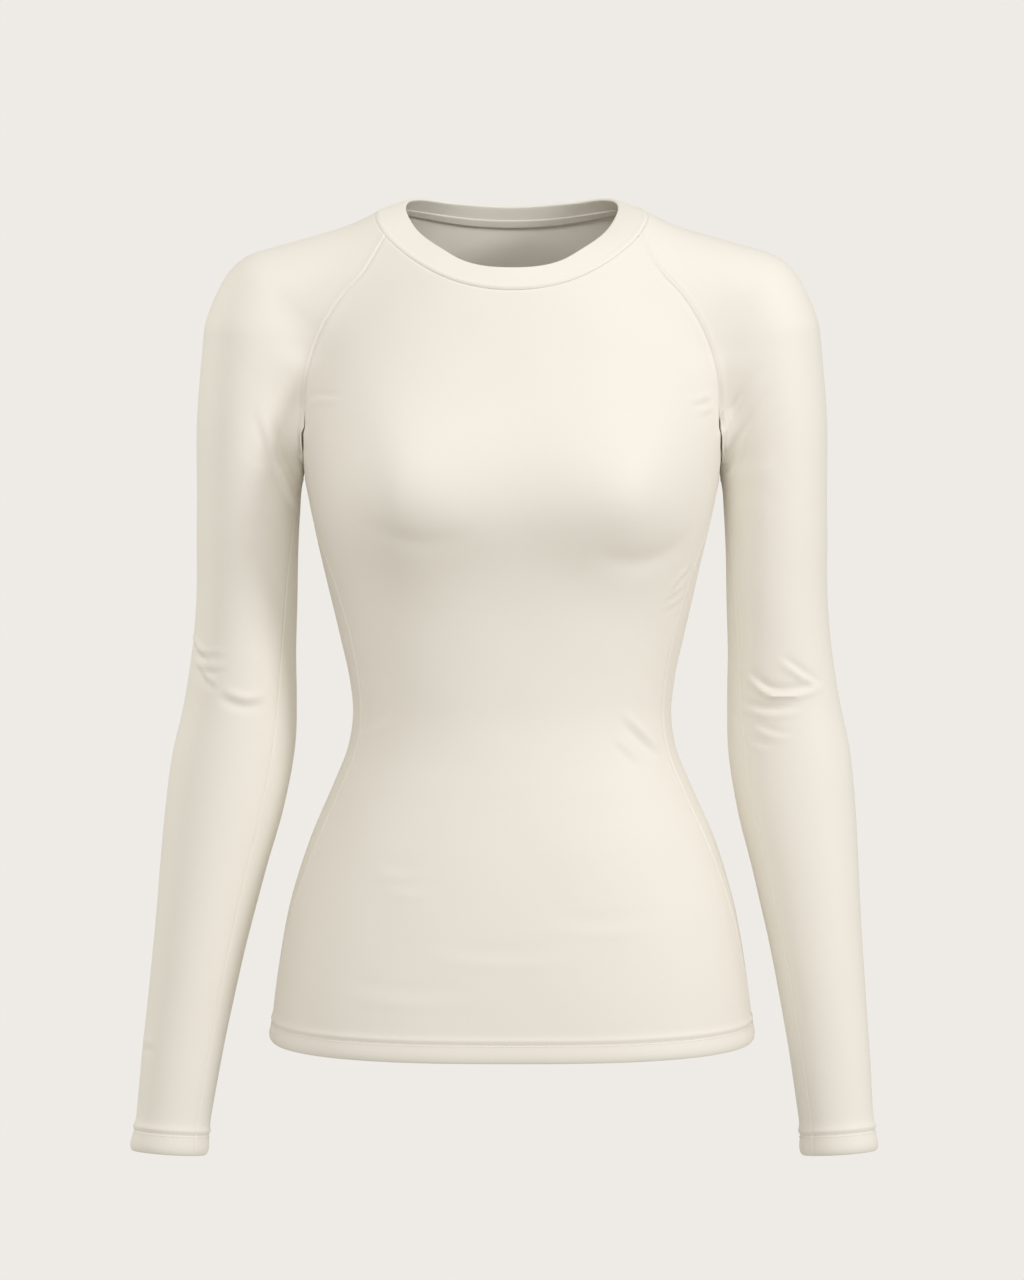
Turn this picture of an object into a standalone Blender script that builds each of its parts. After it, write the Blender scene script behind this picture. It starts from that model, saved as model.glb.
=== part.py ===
"""A women's long-sleeved raglan thermal base layer top, hollow and filled out as when it is worn.

The stretch knit takes the form of a general dress figure, so that form comes first, as a smooth
field that is negative inside. Each cut piece is then a grid of points on it, laid out between the
seams that bound the piece, and gets the thickness of the cloth on its inner side.

Metres, +Z up, -Y the front, +X the wearer's left. The origin is the middle of the neck opening, at
the height of the shoulder-neck points. The two sides are alike, apart from how the sleeves hang.
"""

import math
from collections import namedtuple

import bmesh
import bpy
import numpy as np

# Driving sizes of the garment.
BODY_LENGTH = 0.591
CUFF_HEIGHT = -0.6675
CLOTH = 0.0012
HEM_DEPTH = 0.0165
HEM_CLOTH = 0.0024
HEM_PROUD = 0.0006
STEP = 0.0010
SEAM_GAP = 0.0003

# The dress figure's trunk: half width, and depth in front of and behind the arms' line.
TrunkLevel = namedtuple("TrunkLevel", "height half_width front back")
TRUNK = (
    TrunkLevel(-0.640, 0.1710, 0.110, 0.116),
    TrunkLevel(-0.581, 0.1687, 0.109, 0.117),
    TrunkLevel(-0.539, 0.1638, 0.107, 0.117),
    TrunkLevel(-0.496, 0.1557, 0.103, 0.114),
    TrunkLevel(-0.454, 0.1430, 0.097, 0.106),
    TrunkLevel(-0.412, 0.1250, 0.089, 0.095),
    TrunkLevel(-0.388, 0.1155, 0.085, 0.088),
    TrunkLevel(-0.362, 0.1120, 0.083, 0.083),
    TrunkLevel(-0.340, 0.1142, 0.084, 0.081),
    TrunkLevel(-0.306, 0.1215, 0.087, 0.083),
    TrunkLevel(-0.263, 0.1315, 0.092, 0.089),
    TrunkLevel(-0.221, 0.1405, 0.098, 0.096),
    TrunkLevel(-0.180, 0.1480, 0.098, 0.102),
    TrunkLevel(-0.140, 0.1500, 0.092, 0.104),
    TrunkLevel(-0.100, 0.1400, 0.084, 0.099),
    TrunkLevel(-0.065, 0.1150, 0.076, 0.083),
    TrunkLevel(-0.030, 0.0900, 0.066, 0.064),
    TrunkLevel(0.000, 0.0760, 0.058, 0.056),
    TrunkLevel(0.040, 0.0720, 0.054, 0.052),
)

# Its cross-sections are nearly elliptical, and flatter in front and behind towards the hem.
TRUNK_POWER = 2.15
HEM_POWER = 2.55
FLATTEN_HEIGHTS = (-0.420, -0.580)

# The bust: a soft swell on each side of the trunk's front, which the cloth bridges between.
BUST_OUT = 0.074
BUST_HEIGHT = -0.208
BUST_SWELL = 0.025
BUST_WIDTH = 0.046
BUST_VALLEY = 0.40
BUST_RISE = 0.058
BUST_FALL = 0.050
BUST_START = 0.050

# The shoulder is a bar from the neck's base to the upper arm.
SHOULDER_INNER = (0.0600, 0.004, -0.0520)
SHOULDER_OUTER = (0.1655, 0.004, -0.0800)
SHOULDER_INNER_RADIUS = 0.0440
SHOULDER_OUTER_RADIUS = 0.0430

# The arm: its middle, and half its width and depth.
ArmLevel = namedtuple("ArmLevel", "height out back half_width half_depth")
ARM = (
    ArmLevel(-0.700, 0.2370, -0.0360, 0.0255, 0.0225),
    ArmLevel(-0.660, 0.2328, -0.0310, 0.0257, 0.0232),
    ArmLevel(-0.602, 0.2262, -0.0230, 0.0279, 0.0270),
    ArmLevel(-0.560, 0.2208, -0.0165, 0.0302, 0.0305),
    ArmLevel(-0.518, 0.2150, -0.0100, 0.0331, 0.0340),
    ArmLevel(-0.475, 0.2086, -0.0035, 0.0372, 0.0376),
    ArmLevel(-0.433, 0.2018, 0.0030, 0.0415, 0.0410),
    ArmLevel(-0.390, 0.1960, 0.0080, 0.0428, 0.0425),
    ArmLevel(-0.355, 0.1920, 0.0100, 0.0396, 0.0420),
    ArmLevel(-0.320, 0.1893, 0.0100, 0.0366, 0.0420),
    ArmLevel(-0.285, 0.1872, 0.0090, 0.0356, 0.0430),
    ArmLevel(-0.221, 0.1858, 0.0070, 0.0363, 0.0455),
    ArmLevel(-0.150, 0.1810, 0.0050, 0.0402, 0.0480),
    ArmLevel(-0.100, 0.1745, 0.0040, 0.0425, 0.0470),
)
ELBOW_HEIGHT = -0.370
SWING = {"left": -0.0055, "right": 0.0055}
CUFF_TILT_OUT = 0.07
CUFF_TILT_BACK = -0.14
LEVEL_WRIST_HEIGHT = -0.560

# Cloth bridges the hollow between arm and trunk above the armpit, and folds sharply in it.
SHOULDER_BLEND = 0.008
BRIDGE = 0.030
BRIDGE_HEIGHT = -0.115
FOLD = 0.004
FOLD_HEIGHT = -0.172
FOLD_OUT = 0.1455
FOLD_CLEARANCE = 0.0010

# The side seam, in degrees in front of the trunk's side. It ends at the armpit, and the fold's
# middle wall starts a little lower. A panel's rows start to follow the neck at a share of the way up.
SideSeam = namedtuple("SideSeam", "height forward")
SIDE_SEAM = (
    SideSeam(-0.591, 10.0),
    SideSeam(-0.500, 17.0),
    SideSeam(-0.420, 21.0),
    SideSeam(-0.365, 23.0),
    SideSeam(-0.290, 25.0),
    SideSeam(-0.245, 21.0),
    SideSeam(-0.212, 9.0),
    SideSeam(-0.190, 0.0),
)
ARMPIT_HEIGHT = -0.190
WALL_START = -0.220
NECK_DIP_START = 0.15

# The raglan seams as seen from the front or back, from the fold above the armpit to the neck.
Raglan = namedtuple("Raglan", "out height")
RAGLAN = {
    "front": (
        Raglan(0.1440, -0.163),
        Raglan(0.1430, -0.136),
        Raglan(0.1390, -0.115),
        Raglan(0.1310, -0.094),
        Raglan(0.1180, -0.073),
        Raglan(0.1020, -0.055),
    ),
    "back": (
        Raglan(0.1440, -0.163),
        Raglan(0.1405, -0.136),
        Raglan(0.1330, -0.111),
        Raglan(0.1200, -0.085),
        Raglan(0.1010, -0.058),
        Raglan(0.0840, -0.034),
    ),
}

# The neck seam, where the band is sewn on, and the band's upper edge. A turn is in degrees from
# the side of the neck, positive towards the front.
NeckTurn = namedtuple("NeckTurn", "turn seam rim")
NECK = (
    NeckTurn(-125, -0.0155, -0.0018),
    NeckTurn(-90, -0.0185, -0.0040),
    NeckTurn(-55, -0.0155, -0.0018),
    NeckTurn(-30, -0.0115, 0.0000),
    NeckTurn(-12, -0.0105, -0.0025),
    NeckTurn(0, -0.0140, -0.0070),
    NeckTurn(14, -0.0245, -0.0150),
    NeckTurn(30, -0.0390, -0.0268),
    NeckTurn(50, -0.0545, -0.0395),
    NeckTurn(62, -0.0617, -0.0472),
    NeckTurn(90, -0.0678, -0.0530),
    NeckTurn(118, -0.0617, -0.0472),
)
NECK_HALF_WIDTH = 0.0905
NECK_FRONT = 0.0790
NECK_BACK = 0.0610
NECK_CENTRE = (0.0, 0.0, -0.110)
NECK_CORNER = {"front": 27.0, "back": -36.0}
RIM_HALF_WIDTH = 0.0745
RIM_FRONT = 0.0705
RIM_BACK = 0.0530
BAND_CLOTH = 0.0026
BAND_PROUD = 0.0004
TAPE_DEPTH = 0.0060
TAPE_CLOTH = 0.0010
TAPE_TURN = -28.0

# How many cells each piece has. The seams are shared, so their counts are shared too.
FOLD_ROWS = 4
RAGLAN_ROWS = 8
PANEL_COLUMNS = 20
SLEEVE_COLUMNS = 14
ROUND_SEGMENTS = 2
Span = namedtuple("Span", "start end rows")
SIDE_SPANS = (
    Span(-BODY_LENGTH + HEM_DEPTH + STEP, -0.460, 4),
    Span(-0.460, -0.290, 6),
    Span(-0.290, ARMPIT_HEIGHT, 6),
)
SLEEVE_SPANS = (
    Span(CUFF_HEIGHT + HEM_DEPTH + STEP, -0.630, 1),
    Span(-0.630, -0.430, 7),
    Span(-0.430, -0.310, 6),
    Span(-0.310, ARMPIT_HEIGHT, 5),
)

# The rows of the sleeve's cap turn about a line from front to back, through the trunk's side.
CAP_LINE = (0.100, ARMPIT_HEIGHT)
CAP_REACH = (0.0845, 0.1350)

CLOTH_COLOUR = (0.87, 0.83, 0.77, 1.0)
BAND_COLOUR = (0.88, 0.84, 0.78, 1.0)
TAPE_COLOUR = (0.83, 0.77, 0.68, 1.0)
ROUGHNESS = 0.62
SHARP_ANGLE = math.radians(40)


def ease(value, start, end):
    """A smooth step from 0 at start to 1 at end."""
    share = np.clip((value - start) / (end - start), 0.0, 1.0)
    return share * share * (3.0 - 2.0 * share)


def smooth_through(knots, values, places):
    """The smooth curve through values at knots, read at places and level beyond the ends."""
    slopes = np.gradient(values, knots)
    places = np.clip(places, knots[0], knots[-1])
    cell = np.clip(np.searchsorted(knots, places) - 1, 0, len(knots) - 2)
    width = knots[cell + 1] - knots[cell]
    share = (places - knots[cell]) / width
    rise = share * share * (3.0 - 2.0 * share)
    leave = share * (1.0 - share) ** 2 * width * slopes[cell]
    arrive = share * share * (share - 1.0) * width * slopes[cell + 1]
    return values[cell] * (1.0 - rise) + values[cell + 1] * rise + leave + arrive


def read(table, column, places):
    """A named column of a table, on a smooth curve through its rows' first column."""
    knots = np.array([row[0] for row in table], dtype=float)
    values = np.array([getattr(row, column) for row in table], dtype=float)
    return smooth_through(knots, values, np.asarray(places, dtype=float))


def blend(first, second, width):
    """The union of two fields, rounded over the width."""
    overlap = np.maximum(width - np.abs(first - second), 0.0) / width
    return np.minimum(first, second) - overlap * overlap * width / 4.0


def trunk_field(points):
    side, depth, height = np.abs(points[:, 0]), points[:, 1], points[:, 2]
    half_width = read(TRUNK, "half_width", height)
    half_depth = np.where(depth < 0, read(TRUNK, "front", height), read(TRUNK, "back", height))
    power = TRUNK_POWER + (HEM_POWER - TRUNK_POWER) * ease(height, *FLATTEN_HEIGHTS)
    ratio = (side / half_width) ** power + np.abs(depth / half_depth) ** power
    field = (ratio ** (1.0 / power) - 1.0) * np.minimum(half_width, half_depth)
    fall = np.where(height > BUST_HEIGHT, BUST_RISE, BUST_FALL)
    across = np.where(
        side > BUST_OUT,
        np.exp(-((side - BUST_OUT) / BUST_WIDTH) ** 2),
        1.0 - BUST_VALLEY * (1.0 - (side / BUST_OUT) ** 2) ** 2,
    )
    swell = BUST_SWELL * across * np.exp(-((height - BUST_HEIGHT) / fall) ** 2)
    return field - swell * ease(-depth, 0.0, BUST_START)


def shoulder_field(points):
    inner, outer = np.array(SHOULDER_INNER), np.array(SHOULDER_OUTER)
    here = points.copy()
    here[:, 0] = np.abs(here[:, 0])
    bar = outer - inner
    share = np.clip((here - inner) @ bar / (bar @ bar), 0.0, 1.0)
    radius = SHOULDER_INNER_RADIUS + share * (SHOULDER_OUTER_RADIUS - SHOULDER_INNER_RADIUS)
    return np.linalg.norm(here - inner - share[:, None] * bar, axis=1) - radius


def arm_middle(height, swing):
    """The arm's middle at a height: how far out, and how far back."""
    lowered = np.clip((ELBOW_HEIGHT - height) / (ELBOW_HEIGHT - CUFF_HEIGHT), 0.0, None)
    return read(ARM, "out", height) + swing * lowered, read(ARM, "back", height)


def arm_field(points, swing):
    side, depth, height = np.abs(points[:, 0]), points[:, 1], points[:, 2]
    out, back = arm_middle(height, swing)
    half_width, half_depth = read(ARM, "half_width", height), read(ARM, "half_depth", height)
    above = np.maximum(height - ARM[-1].height, 0.0)
    ratio = np.sqrt(
        ((side - out) / half_width) ** 2 + ((depth - back) / half_depth) ** 2 + (above / half_width) ** 2
    )
    return (ratio - 1.0) * np.minimum(half_width, half_depth)


def figure(points, swing=0.0):
    """Below zero inside the dress figure, and about a distance near its surface."""
    limb = blend(shoulder_field(points), arm_field(points, swing), SHOULDER_BLEND)
    width = FOLD + (BRIDGE - FOLD) * ease(points[:, 2], FOLD_HEIGHT, BRIDGE_HEIGHT)
    return blend(trunk_field(points), limb, width)


def cast(start, directions, swing=0.0, reach=0.32, marches=80, halvings=22):
    """Where lines that start inside the figure first leave it."""
    start = np.broadcast_to(np.asarray(start, dtype=float), directions.shape)
    directions = directions / np.linalg.norm(directions, axis=1)[:, None]
    inside = np.zeros(len(directions))
    outside = np.full(len(directions), reach)
    found = np.zeros(len(directions), dtype=bool)
    for distance in np.linspace(0.0, reach, marches):
        out_here = figure(start + directions * distance, swing) > 0.0
        outside = np.where(out_here & ~found, distance, outside)
        found |= out_here
        inside = np.where(found, inside, distance)
    for _ in range(halvings):
        middle = (inside + outside) / 2.0
        out_here = figure(start + directions * middle[:, None], swing) > 0.0
        outside = np.where(out_here, middle, outside)
        inside = np.where(out_here, inside, middle)
    return start + directions * outside[:, None]


def outward(points, swing=0.0, probe=0.0004):
    """The figure's outward directions at points on its surface."""
    shifts = np.eye(3) * probe
    slopes = [figure(points + shift, swing) - figure(points - shift, swing) for shift in shifts]
    slopes = np.stack(slopes, axis=1)
    return slopes / np.linalg.norm(slopes, axis=1)[:, None]


def keep_to_side(points, normals, start, wall, facing):
    """Stops the cloth at the fold's middle wall, on lines that would cross it."""
    over = (points[:, 0] - wall) * facing > 0.0
    share = (wall - start[:, 0]) / np.where(over, points[:, 0] - start[:, 0], 1.0)
    stopped = start + (points - start) * share[:, None]
    points = np.where(over[:, None], stopped, points)
    normals = np.where(over[:, None], (facing, 0.0, 0.0), normals)
    return points, normals


def neck_line(turns):
    """The neck seam on the figure, at turns in degrees from the side towards the front."""
    angles = np.radians(turns)
    depth = np.where(angles > 0.0, -NECK_FRONT, NECK_BACK) * np.abs(np.sin(angles))
    aim = np.stack([NECK_HALF_WIDTH * np.cos(angles), depth, read(NECK, "seam", turns)], axis=1)
    return cast(NECK_CENTRE, aim - NECK_CENTRE)


def rim_line(turns):
    """The upper edge of the neckband."""
    angles = np.radians(turns)
    depth = np.where(angles > 0.0, -RIM_FRONT, RIM_BACK) * np.abs(np.sin(angles))
    return np.stack([RIM_HALF_WIDTH * np.cos(angles), depth, read(NECK, "rim", turns)], axis=1)


def armhole(side):
    """The armhole's edge on the front or back, from the armpit to the neck, and its rows' turns."""
    facing = -1.0 if side == "front" else 1.0
    corner = neck_line(np.array([NECK_CORNER[side]]))[0]
    knots = np.array([tuple(row) for row in RAGLAN[side]] + [(corner[0], corner[2])])
    count = len(knots)
    fine = np.linspace(0, count - 1, 30 * count)
    out = smooth_through(np.arange(count, dtype=float), knots[:, 0], fine)
    height = smooth_through(np.arange(count, dtype=float), knots[:, 1], fine)
    turns = np.arctan2(height - CAP_LINE[1], out - CAP_LINE[0])
    first = math.atan2(knots[0, 1] - CAP_LINE[1], FOLD_OUT - CAP_LINE[0])
    wanted = np.linspace(turns[0], turns[-1], RAGLAN_ROWS + 1)
    seen = np.zeros((len(wanted), 3))
    seen[:, 0], seen[:, 2] = np.interp(wanted, turns, out), np.interp(wanted, turns, height)
    raglan = cast(seen, np.tile((0.0, facing, 0.0), (len(seen), 1)))
    raglan[-1] = corner
    low = np.linspace(0.0, first, FOLD_ROWS, endpoint=False)
    low_height = CAP_LINE[1] + (FOLD_OUT - CAP_LINE[0]) * np.tan(low)
    rise = (knots[0, 1] - low_height) / (knots[0, 1] - CAP_LINE[1])
    low_depth = raglan[0, 1] * np.sqrt(np.maximum(1.0 - rise * rise, 0.0))
    under = np.stack([np.full(FOLD_ROWS, FOLD_OUT), low_depth, low_height], axis=1)
    return np.vstack([under, raglan]), np.concatenate([low, wanted])


def row_heights(edge, spans):
    """The heights of a piece's rows, from its turned hem up through its spans."""
    heights = [edge, edge + HEM_DEPTH]
    for span in spans:
        heights += list(np.linspace(span.start, span.end, span.rows + 1)[:-1])
    return heights + [spans[-1].end]


def panel_direction(angle, height):
    """The way out from the trunk's middle, at an angle from straight forward."""
    half_width = read(TRUNK, "half_width", height)
    half_depth = np.where(np.cos(angle) > 0, read(TRUNK, "front", height), read(TRUNK, "back", height))
    return np.stack([half_width * np.sin(angle), -half_depth * np.cos(angle), 0.0 * angle], axis=1)


def seam_angle(point):
    """The angle, as panel_direction takes it, that leads to a point."""
    column = "front" if point[1] < 0 else "back"
    half_depth = read(TRUNK, column, point[2])
    return math.atan2(point[0] / read(TRUNK, "half_width", point[2]), -point[1] / half_depth)


def body_panel(side):
    """The front or back: its grid of points and outward directions, from hem to neck."""
    edge, _ = armhole(side)
    heights = np.array(row_heights(-BODY_LENGTH, SIDE_SPANS))
    side_angles = np.radians(90.0 - read(SIDE_SEAM, "forward", heights))
    share = np.linspace(-1.0, 1.0, PANEL_COLUMNS + 1)
    opposite = 0.0 if side == "front" else math.pi
    rows = [(height, angle, 0.0) for height, angle in zip(heights, side_angles)]
    rise = len(edge) - 1
    rows += [(edge[step][2], seam_angle(edge[step]), step / rise) for step in range(1, rise)]
    middle_turn = 90.0 if side == "front" else -90.0
    mirror = np.where(share < 0, -1.0, 1.0)
    neck = neck_line(middle_turn + (NECK_CORNER[side] - middle_turn) * np.abs(share))
    neck[:, 0] *= mirror
    dip = neck[:, 2] - neck[0, 2]
    grid, normals = [], []
    for number, (height, angle, lift) in enumerate(rows):
        turn = opposite + (angle - opposite) * np.abs(share)
        level = height + dip * ease(lift, NECK_DIP_START, 1.0)
        start = np.stack([0.0 * share, 0.0 * share, level], axis=1)
        points = cast(start, panel_direction(turn, level))
        across = outward(points)
        if height > WALL_START:
            points, across = keep_to_side(points, across, start, FOLD_OUT - FOLD_CLEARANCE / 2, 1.0)
        step = number - len(heights) + 1
        if step > 0:
            drawn = FOLD_CLEARANCE / 2 if step < FOLD_ROWS else 0.0
            points[0] = points[-1] = edge[step] - (drawn, 0.0, 0.0)
        points[:, 0] *= mirror
        across[:, 0] *= mirror
        grid.append(points)
        normals.append(across)
    grid.append(neck)
    normals.append(outward(neck))
    return np.array(grid), np.array(normals)


def sleeve_ring(height, swing):
    """One closed ring of the sleeve, from its inner side round the front to its inner side."""
    angle = np.linspace(-math.pi, math.pi, SLEEVE_COLUMNS + 1)
    out, back = arm_middle(height, swing)
    tilt = ease(height, ELBOW_HEIGHT, LEVEL_WRIST_HEIGHT)
    slope = tilt * (CUFF_TILT_OUT * np.cos(angle) + CUFF_TILT_BACK * np.sin(angle))
    start = np.tile((float(out), float(back), height), (len(angle), 1))
    points = cast(start, np.stack([np.cos(angle), np.sin(angle), slope], axis=1), swing)
    wall = FOLD_OUT + FOLD_CLEARANCE / 2
    return keep_to_side(points, outward(points, swing), start, wall, -1.0)


def cap_row(step, front, back, turn):
    """One open row of the sleeve's cap, from the front armhole over the arm to the back one."""
    reach = CAP_REACH[0] + (CAP_REACH[1] - CAP_REACH[0]) * turn / math.radians(90)
    radial = np.array([math.cos(turn), 0.0, math.sin(turn)])
    centre = np.array([CAP_LINE[0], 0.0, CAP_LINE[1]]) + radial * reach
    first, last = front - centre, back - centre
    ends = math.atan2(first[1], first @ radial), math.atan2(last[1], last @ radial)
    angle = np.linspace(*ends, SLEEVE_COLUMNS + 1)
    start = np.tile(centre, (len(angle), 1))
    points = cast(start, np.cos(angle)[:, None] * radial + np.sin(angle)[:, None] * (0.0, 1.0, 0.0))
    normals = outward(points)
    if step < FOLD_ROWS:
        wall = FOLD_OUT + FOLD_CLEARANCE / 2
        points, normals = keep_to_side(points, normals, start, wall, -1.0)
    shift = (FOLD_CLEARANCE / 2, 0, 0) if step < FOLD_ROWS else 0.0
    points[0], points[-1] = front + shift, back + shift
    return points, normals


def sleeve_grid(swing):
    """A sleeve: its grid of points and outward directions, from cuff to neck."""
    rows = [sleeve_ring(height, swing) for height in row_heights(CUFF_HEIGHT, SLEEVE_SPANS)[:-1]]
    front, front_turns = armhole("front")
    back, back_turns = armhole("back")
    for step in range(len(front) - 1):
        turn = (front_turns[step] + back_turns[step]) / 2
        rows.append(cap_row(step, front[step], back[step], turn))
    neck = neck_line(np.linspace(NECK_CORNER["front"], NECK_CORNER["back"], SLEEVE_COLUMNS + 1))
    rows.append((neck, outward(neck)))
    return np.array([row[0] for row in rows]), np.array([row[1] for row in rows])


def trim(grid, ends, head):
    """Draws a piece's sewn edges back from its neighbours by half the seams' gap."""
    trimmed = grid.copy()
    if ends is not None:
        for edge, near in ((0, 1), (-1, -2)):
            inward = grid[ends:, near] - grid[ends:, edge]
            inward /= np.linalg.norm(inward, axis=1)[:, None]
            trimmed[ends:, edge] += inward * SEAM_GAP / 2
    if head:
        inward = grid[-2] - grid[-1]
        inward /= np.linalg.norm(inward, axis=1)[:, None]
        trimmed[-1] += inward * SEAM_GAP / 2
    return trimmed


def material(name, colour):
    made = bpy.data.materials.new(name)
    made.use_nodes = True
    shader = made.node_tree.nodes["Principled BSDF"]
    shader.inputs["Base Color"].default_value = colour
    shader.inputs["Roughness"].default_value = ROUGHNESS
    shader.inputs["Metallic"].default_value = 0.0
    return made


def finish_piece(solid, name, colour):
    """Turns a closed shape into a named object with its material."""
    bmesh.ops.triangulate(solid, faces=solid.faces[:])
    bmesh.ops.recalc_face_normals(solid, faces=solid.faces[:])
    mesh = bpy.data.meshes.new(name)
    solid.to_mesh(mesh)
    solid.free()
    mesh.shade_smooth()
    mesh.set_sharp_from_angle(angle=SHARP_ANGLE)
    mesh.materials.append(material(name, colour))
    piece = bpy.data.objects.new(name, mesh)
    bpy.context.collection.objects.link(piece)


def cloth_piece(name, grid, normals, thickness, colour, flip=False):
    """A wall of cloth: the grid is its outer face, and it is extruded inwards by the thickness."""
    rows, columns = grid.shape[:2]
    shell = bmesh.new()
    inward = shell.verts.layers.float_vector.new("inward")
    made = bmesh.ops.create_grid(shell, x_segments=columns - 1, y_segments=rows - 1, size=1.0)
    for vertex in made["verts"]:
        column = round((vertex.co.x + 1.0) / 2.0 * (columns - 1))
        row = round((vertex.co.y + 1.0) / 2.0 * (rows - 1))
        vertex.co = grid[row, column]
        vertex[inward] = -normals[row, column] * thickness[row]
    bmesh.ops.remove_doubles(shell, verts=shell.verts, dist=1e-7)
    extruded = bmesh.ops.extrude_face_region(shell, geom=shell.faces[:])
    for vertex in [item for item in extruded["geom"] if isinstance(item, bmesh.types.BMVert)]:
        vertex.co += vertex[inward]
    if flip:
        for vertex in shell.verts:
            vertex.co.x = -vertex.co.x
    finish_piece(shell, name, colour)


def hem_sizes(rows):
    """The outward step and the thickness of each row of a piece that starts with a turned hem."""
    proud = np.where(np.arange(rows) < 2, HEM_PROUD, 0.0)
    thickness = np.where(np.arange(rows) < 2, HEM_CLOTH, CLOTH)
    return proud, thickness


def make_panel(side):
    grid, normals = body_panel(side)
    proud, thickness = hem_sizes(len(grid))
    grid = trim(grid, 0, True) + normals * proud[:, None, None]
    cloth_piece(side + "_panel", grid, normals, thickness, CLOTH_COLOUR)


def make_sleeve(side):
    grid, normals = sleeve_grid(SWING[side])
    proud, thickness = hem_sizes(len(grid))
    armpit = 2 + sum(span.rows for span in SLEEVE_SPANS)
    grid = trim(grid, armpit + 1, True) + normals * proud[:, None, None]
    cloth_piece(side + "_sleeve", grid, normals, thickness, CLOTH_COLOUR, flip=side == "right")


def neck_turns():
    """Each point round the neck seam, as a turn and a side, in step with the pieces sewn to it."""
    front, back = NECK_CORNER["front"], NECK_CORNER["back"]
    half = PANEL_COLUMNS // 2
    turns = list(np.linspace(90.0, front, half + 1)[:-1])
    turns += list(np.linspace(front, back, SLEEVE_COLUMNS + 1)[:-1])
    turns += list(np.linspace(back, -90.0, half + 1))
    sides = [1.0] * len(turns)
    return np.array(turns + turns[-2:0:-1]), np.array(sides + [-1.0] * (len(turns) - 2))


def ring_solid(name, profiles, colour, closed):
    """A solid from cross-sections that follow one another, each a loop of points."""
    solid = bmesh.new()
    loops = [[solid.verts.new(point) for point in profile] for profile in profiles]
    for number, loop in enumerate(loops):
        if number + 1 == len(loops) and not closed:
            break
        following = loops[(number + 1) % len(loops)]
        for place, vertex in enumerate(loop):
            beside = (place + 1) % len(loop)
            solid.faces.new((vertex, loop[beside], following[beside], following[place]))
    if not closed:
        solid.faces.new(loops[0])
        solid.faces.new(loops[-1][::-1])
    finish_piece(solid, name, colour)


def unit(vectors):
    return vectors / np.linalg.norm(vectors, axis=-1)[..., None]


def band_frame():
    """The neckband's foot and crown, and the direction across its cloth at each."""
    turns, sides = neck_turns()
    mirror = np.stack([sides, np.ones_like(sides), np.ones_like(sides)], axis=1)
    seam, rim = neck_line(turns), rim_line(turns) * mirror
    foot_across = outward(seam) * mirror
    seam = seam * mirror
    rise = unit(rim - seam)
    along = np.roll(seam, -1, axis=0) - np.roll(seam, 1, axis=0)
    crown_across = unit(np.cross(rise, along))
    crown_across *= np.sign(np.sum(crown_across * foot_across, axis=1))[:, None]
    lift = unit(rise - np.sum(rise * foot_across, axis=1)[:, None] * foot_across)
    foot = seam + lift * SEAM_GAP + foot_across * BAND_PROUD
    crown = rim + crown_across * BAND_PROUD - rise * BAND_CLOTH / 2
    return turns, foot, crown, foot_across, crown_across, rise


def make_neckband():
    """The band is folded double along its rim, and its two raw edges go into the neck seam."""
    radius = BAND_CLOTH / 2
    profiles = []
    for _, foot, crown, foot_across, crown_across, rise in zip(*band_frame()):
        middle = crown - crown_across * radius
        arc = [middle + radius * (crown_across * math.cos(angle) + rise * math.sin(angle))
               for angle in np.linspace(0.0, math.pi, ROUND_SEGMENTS + 1)]
        profiles.append([foot] + arc + [foot - foot_across * BAND_CLOTH])
    ring_solid("neckband", profiles, BAND_COLOUR, closed=True)


def make_neck_tape():
    """A narrow tape that covers the neck seam's raw edges, inside the back of the neck."""
    profiles = []
    for turn, foot, crown, foot_across, crown_across, _ in zip(*band_frame()):
        if turn > TAPE_TURN:
            continue
        low = foot - foot_across * BAND_CLOTH
        high = crown - crown_across * BAND_CLOTH
        up = unit(high - low)
        inward = unit(-foot_across + np.sum(foot_across * up) * up)
        start = low + inward * SEAM_GAP + up * SEAM_GAP
        end = start + up * TAPE_DEPTH
        profiles.append([start, end, end + inward * TAPE_CLOTH, start + inward * TAPE_CLOTH])
    ring_solid("neck_tape", profiles, TAPE_COLOUR, closed=False)


def build():
    for thing in list(bpy.data.objects):
        bpy.data.objects.remove(thing, do_unlink=True)
    make_panel("front")
    make_panel("back")
    make_sleeve("left")
    make_sleeve("right")
    make_neckband()
    make_neck_tape()


build()
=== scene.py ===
import math
from collections import namedtuple

import bmesh
import bpy
import numpy as np
from mathutils import Matrix, Vector
from mathutils.kdtree import KDTree


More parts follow.
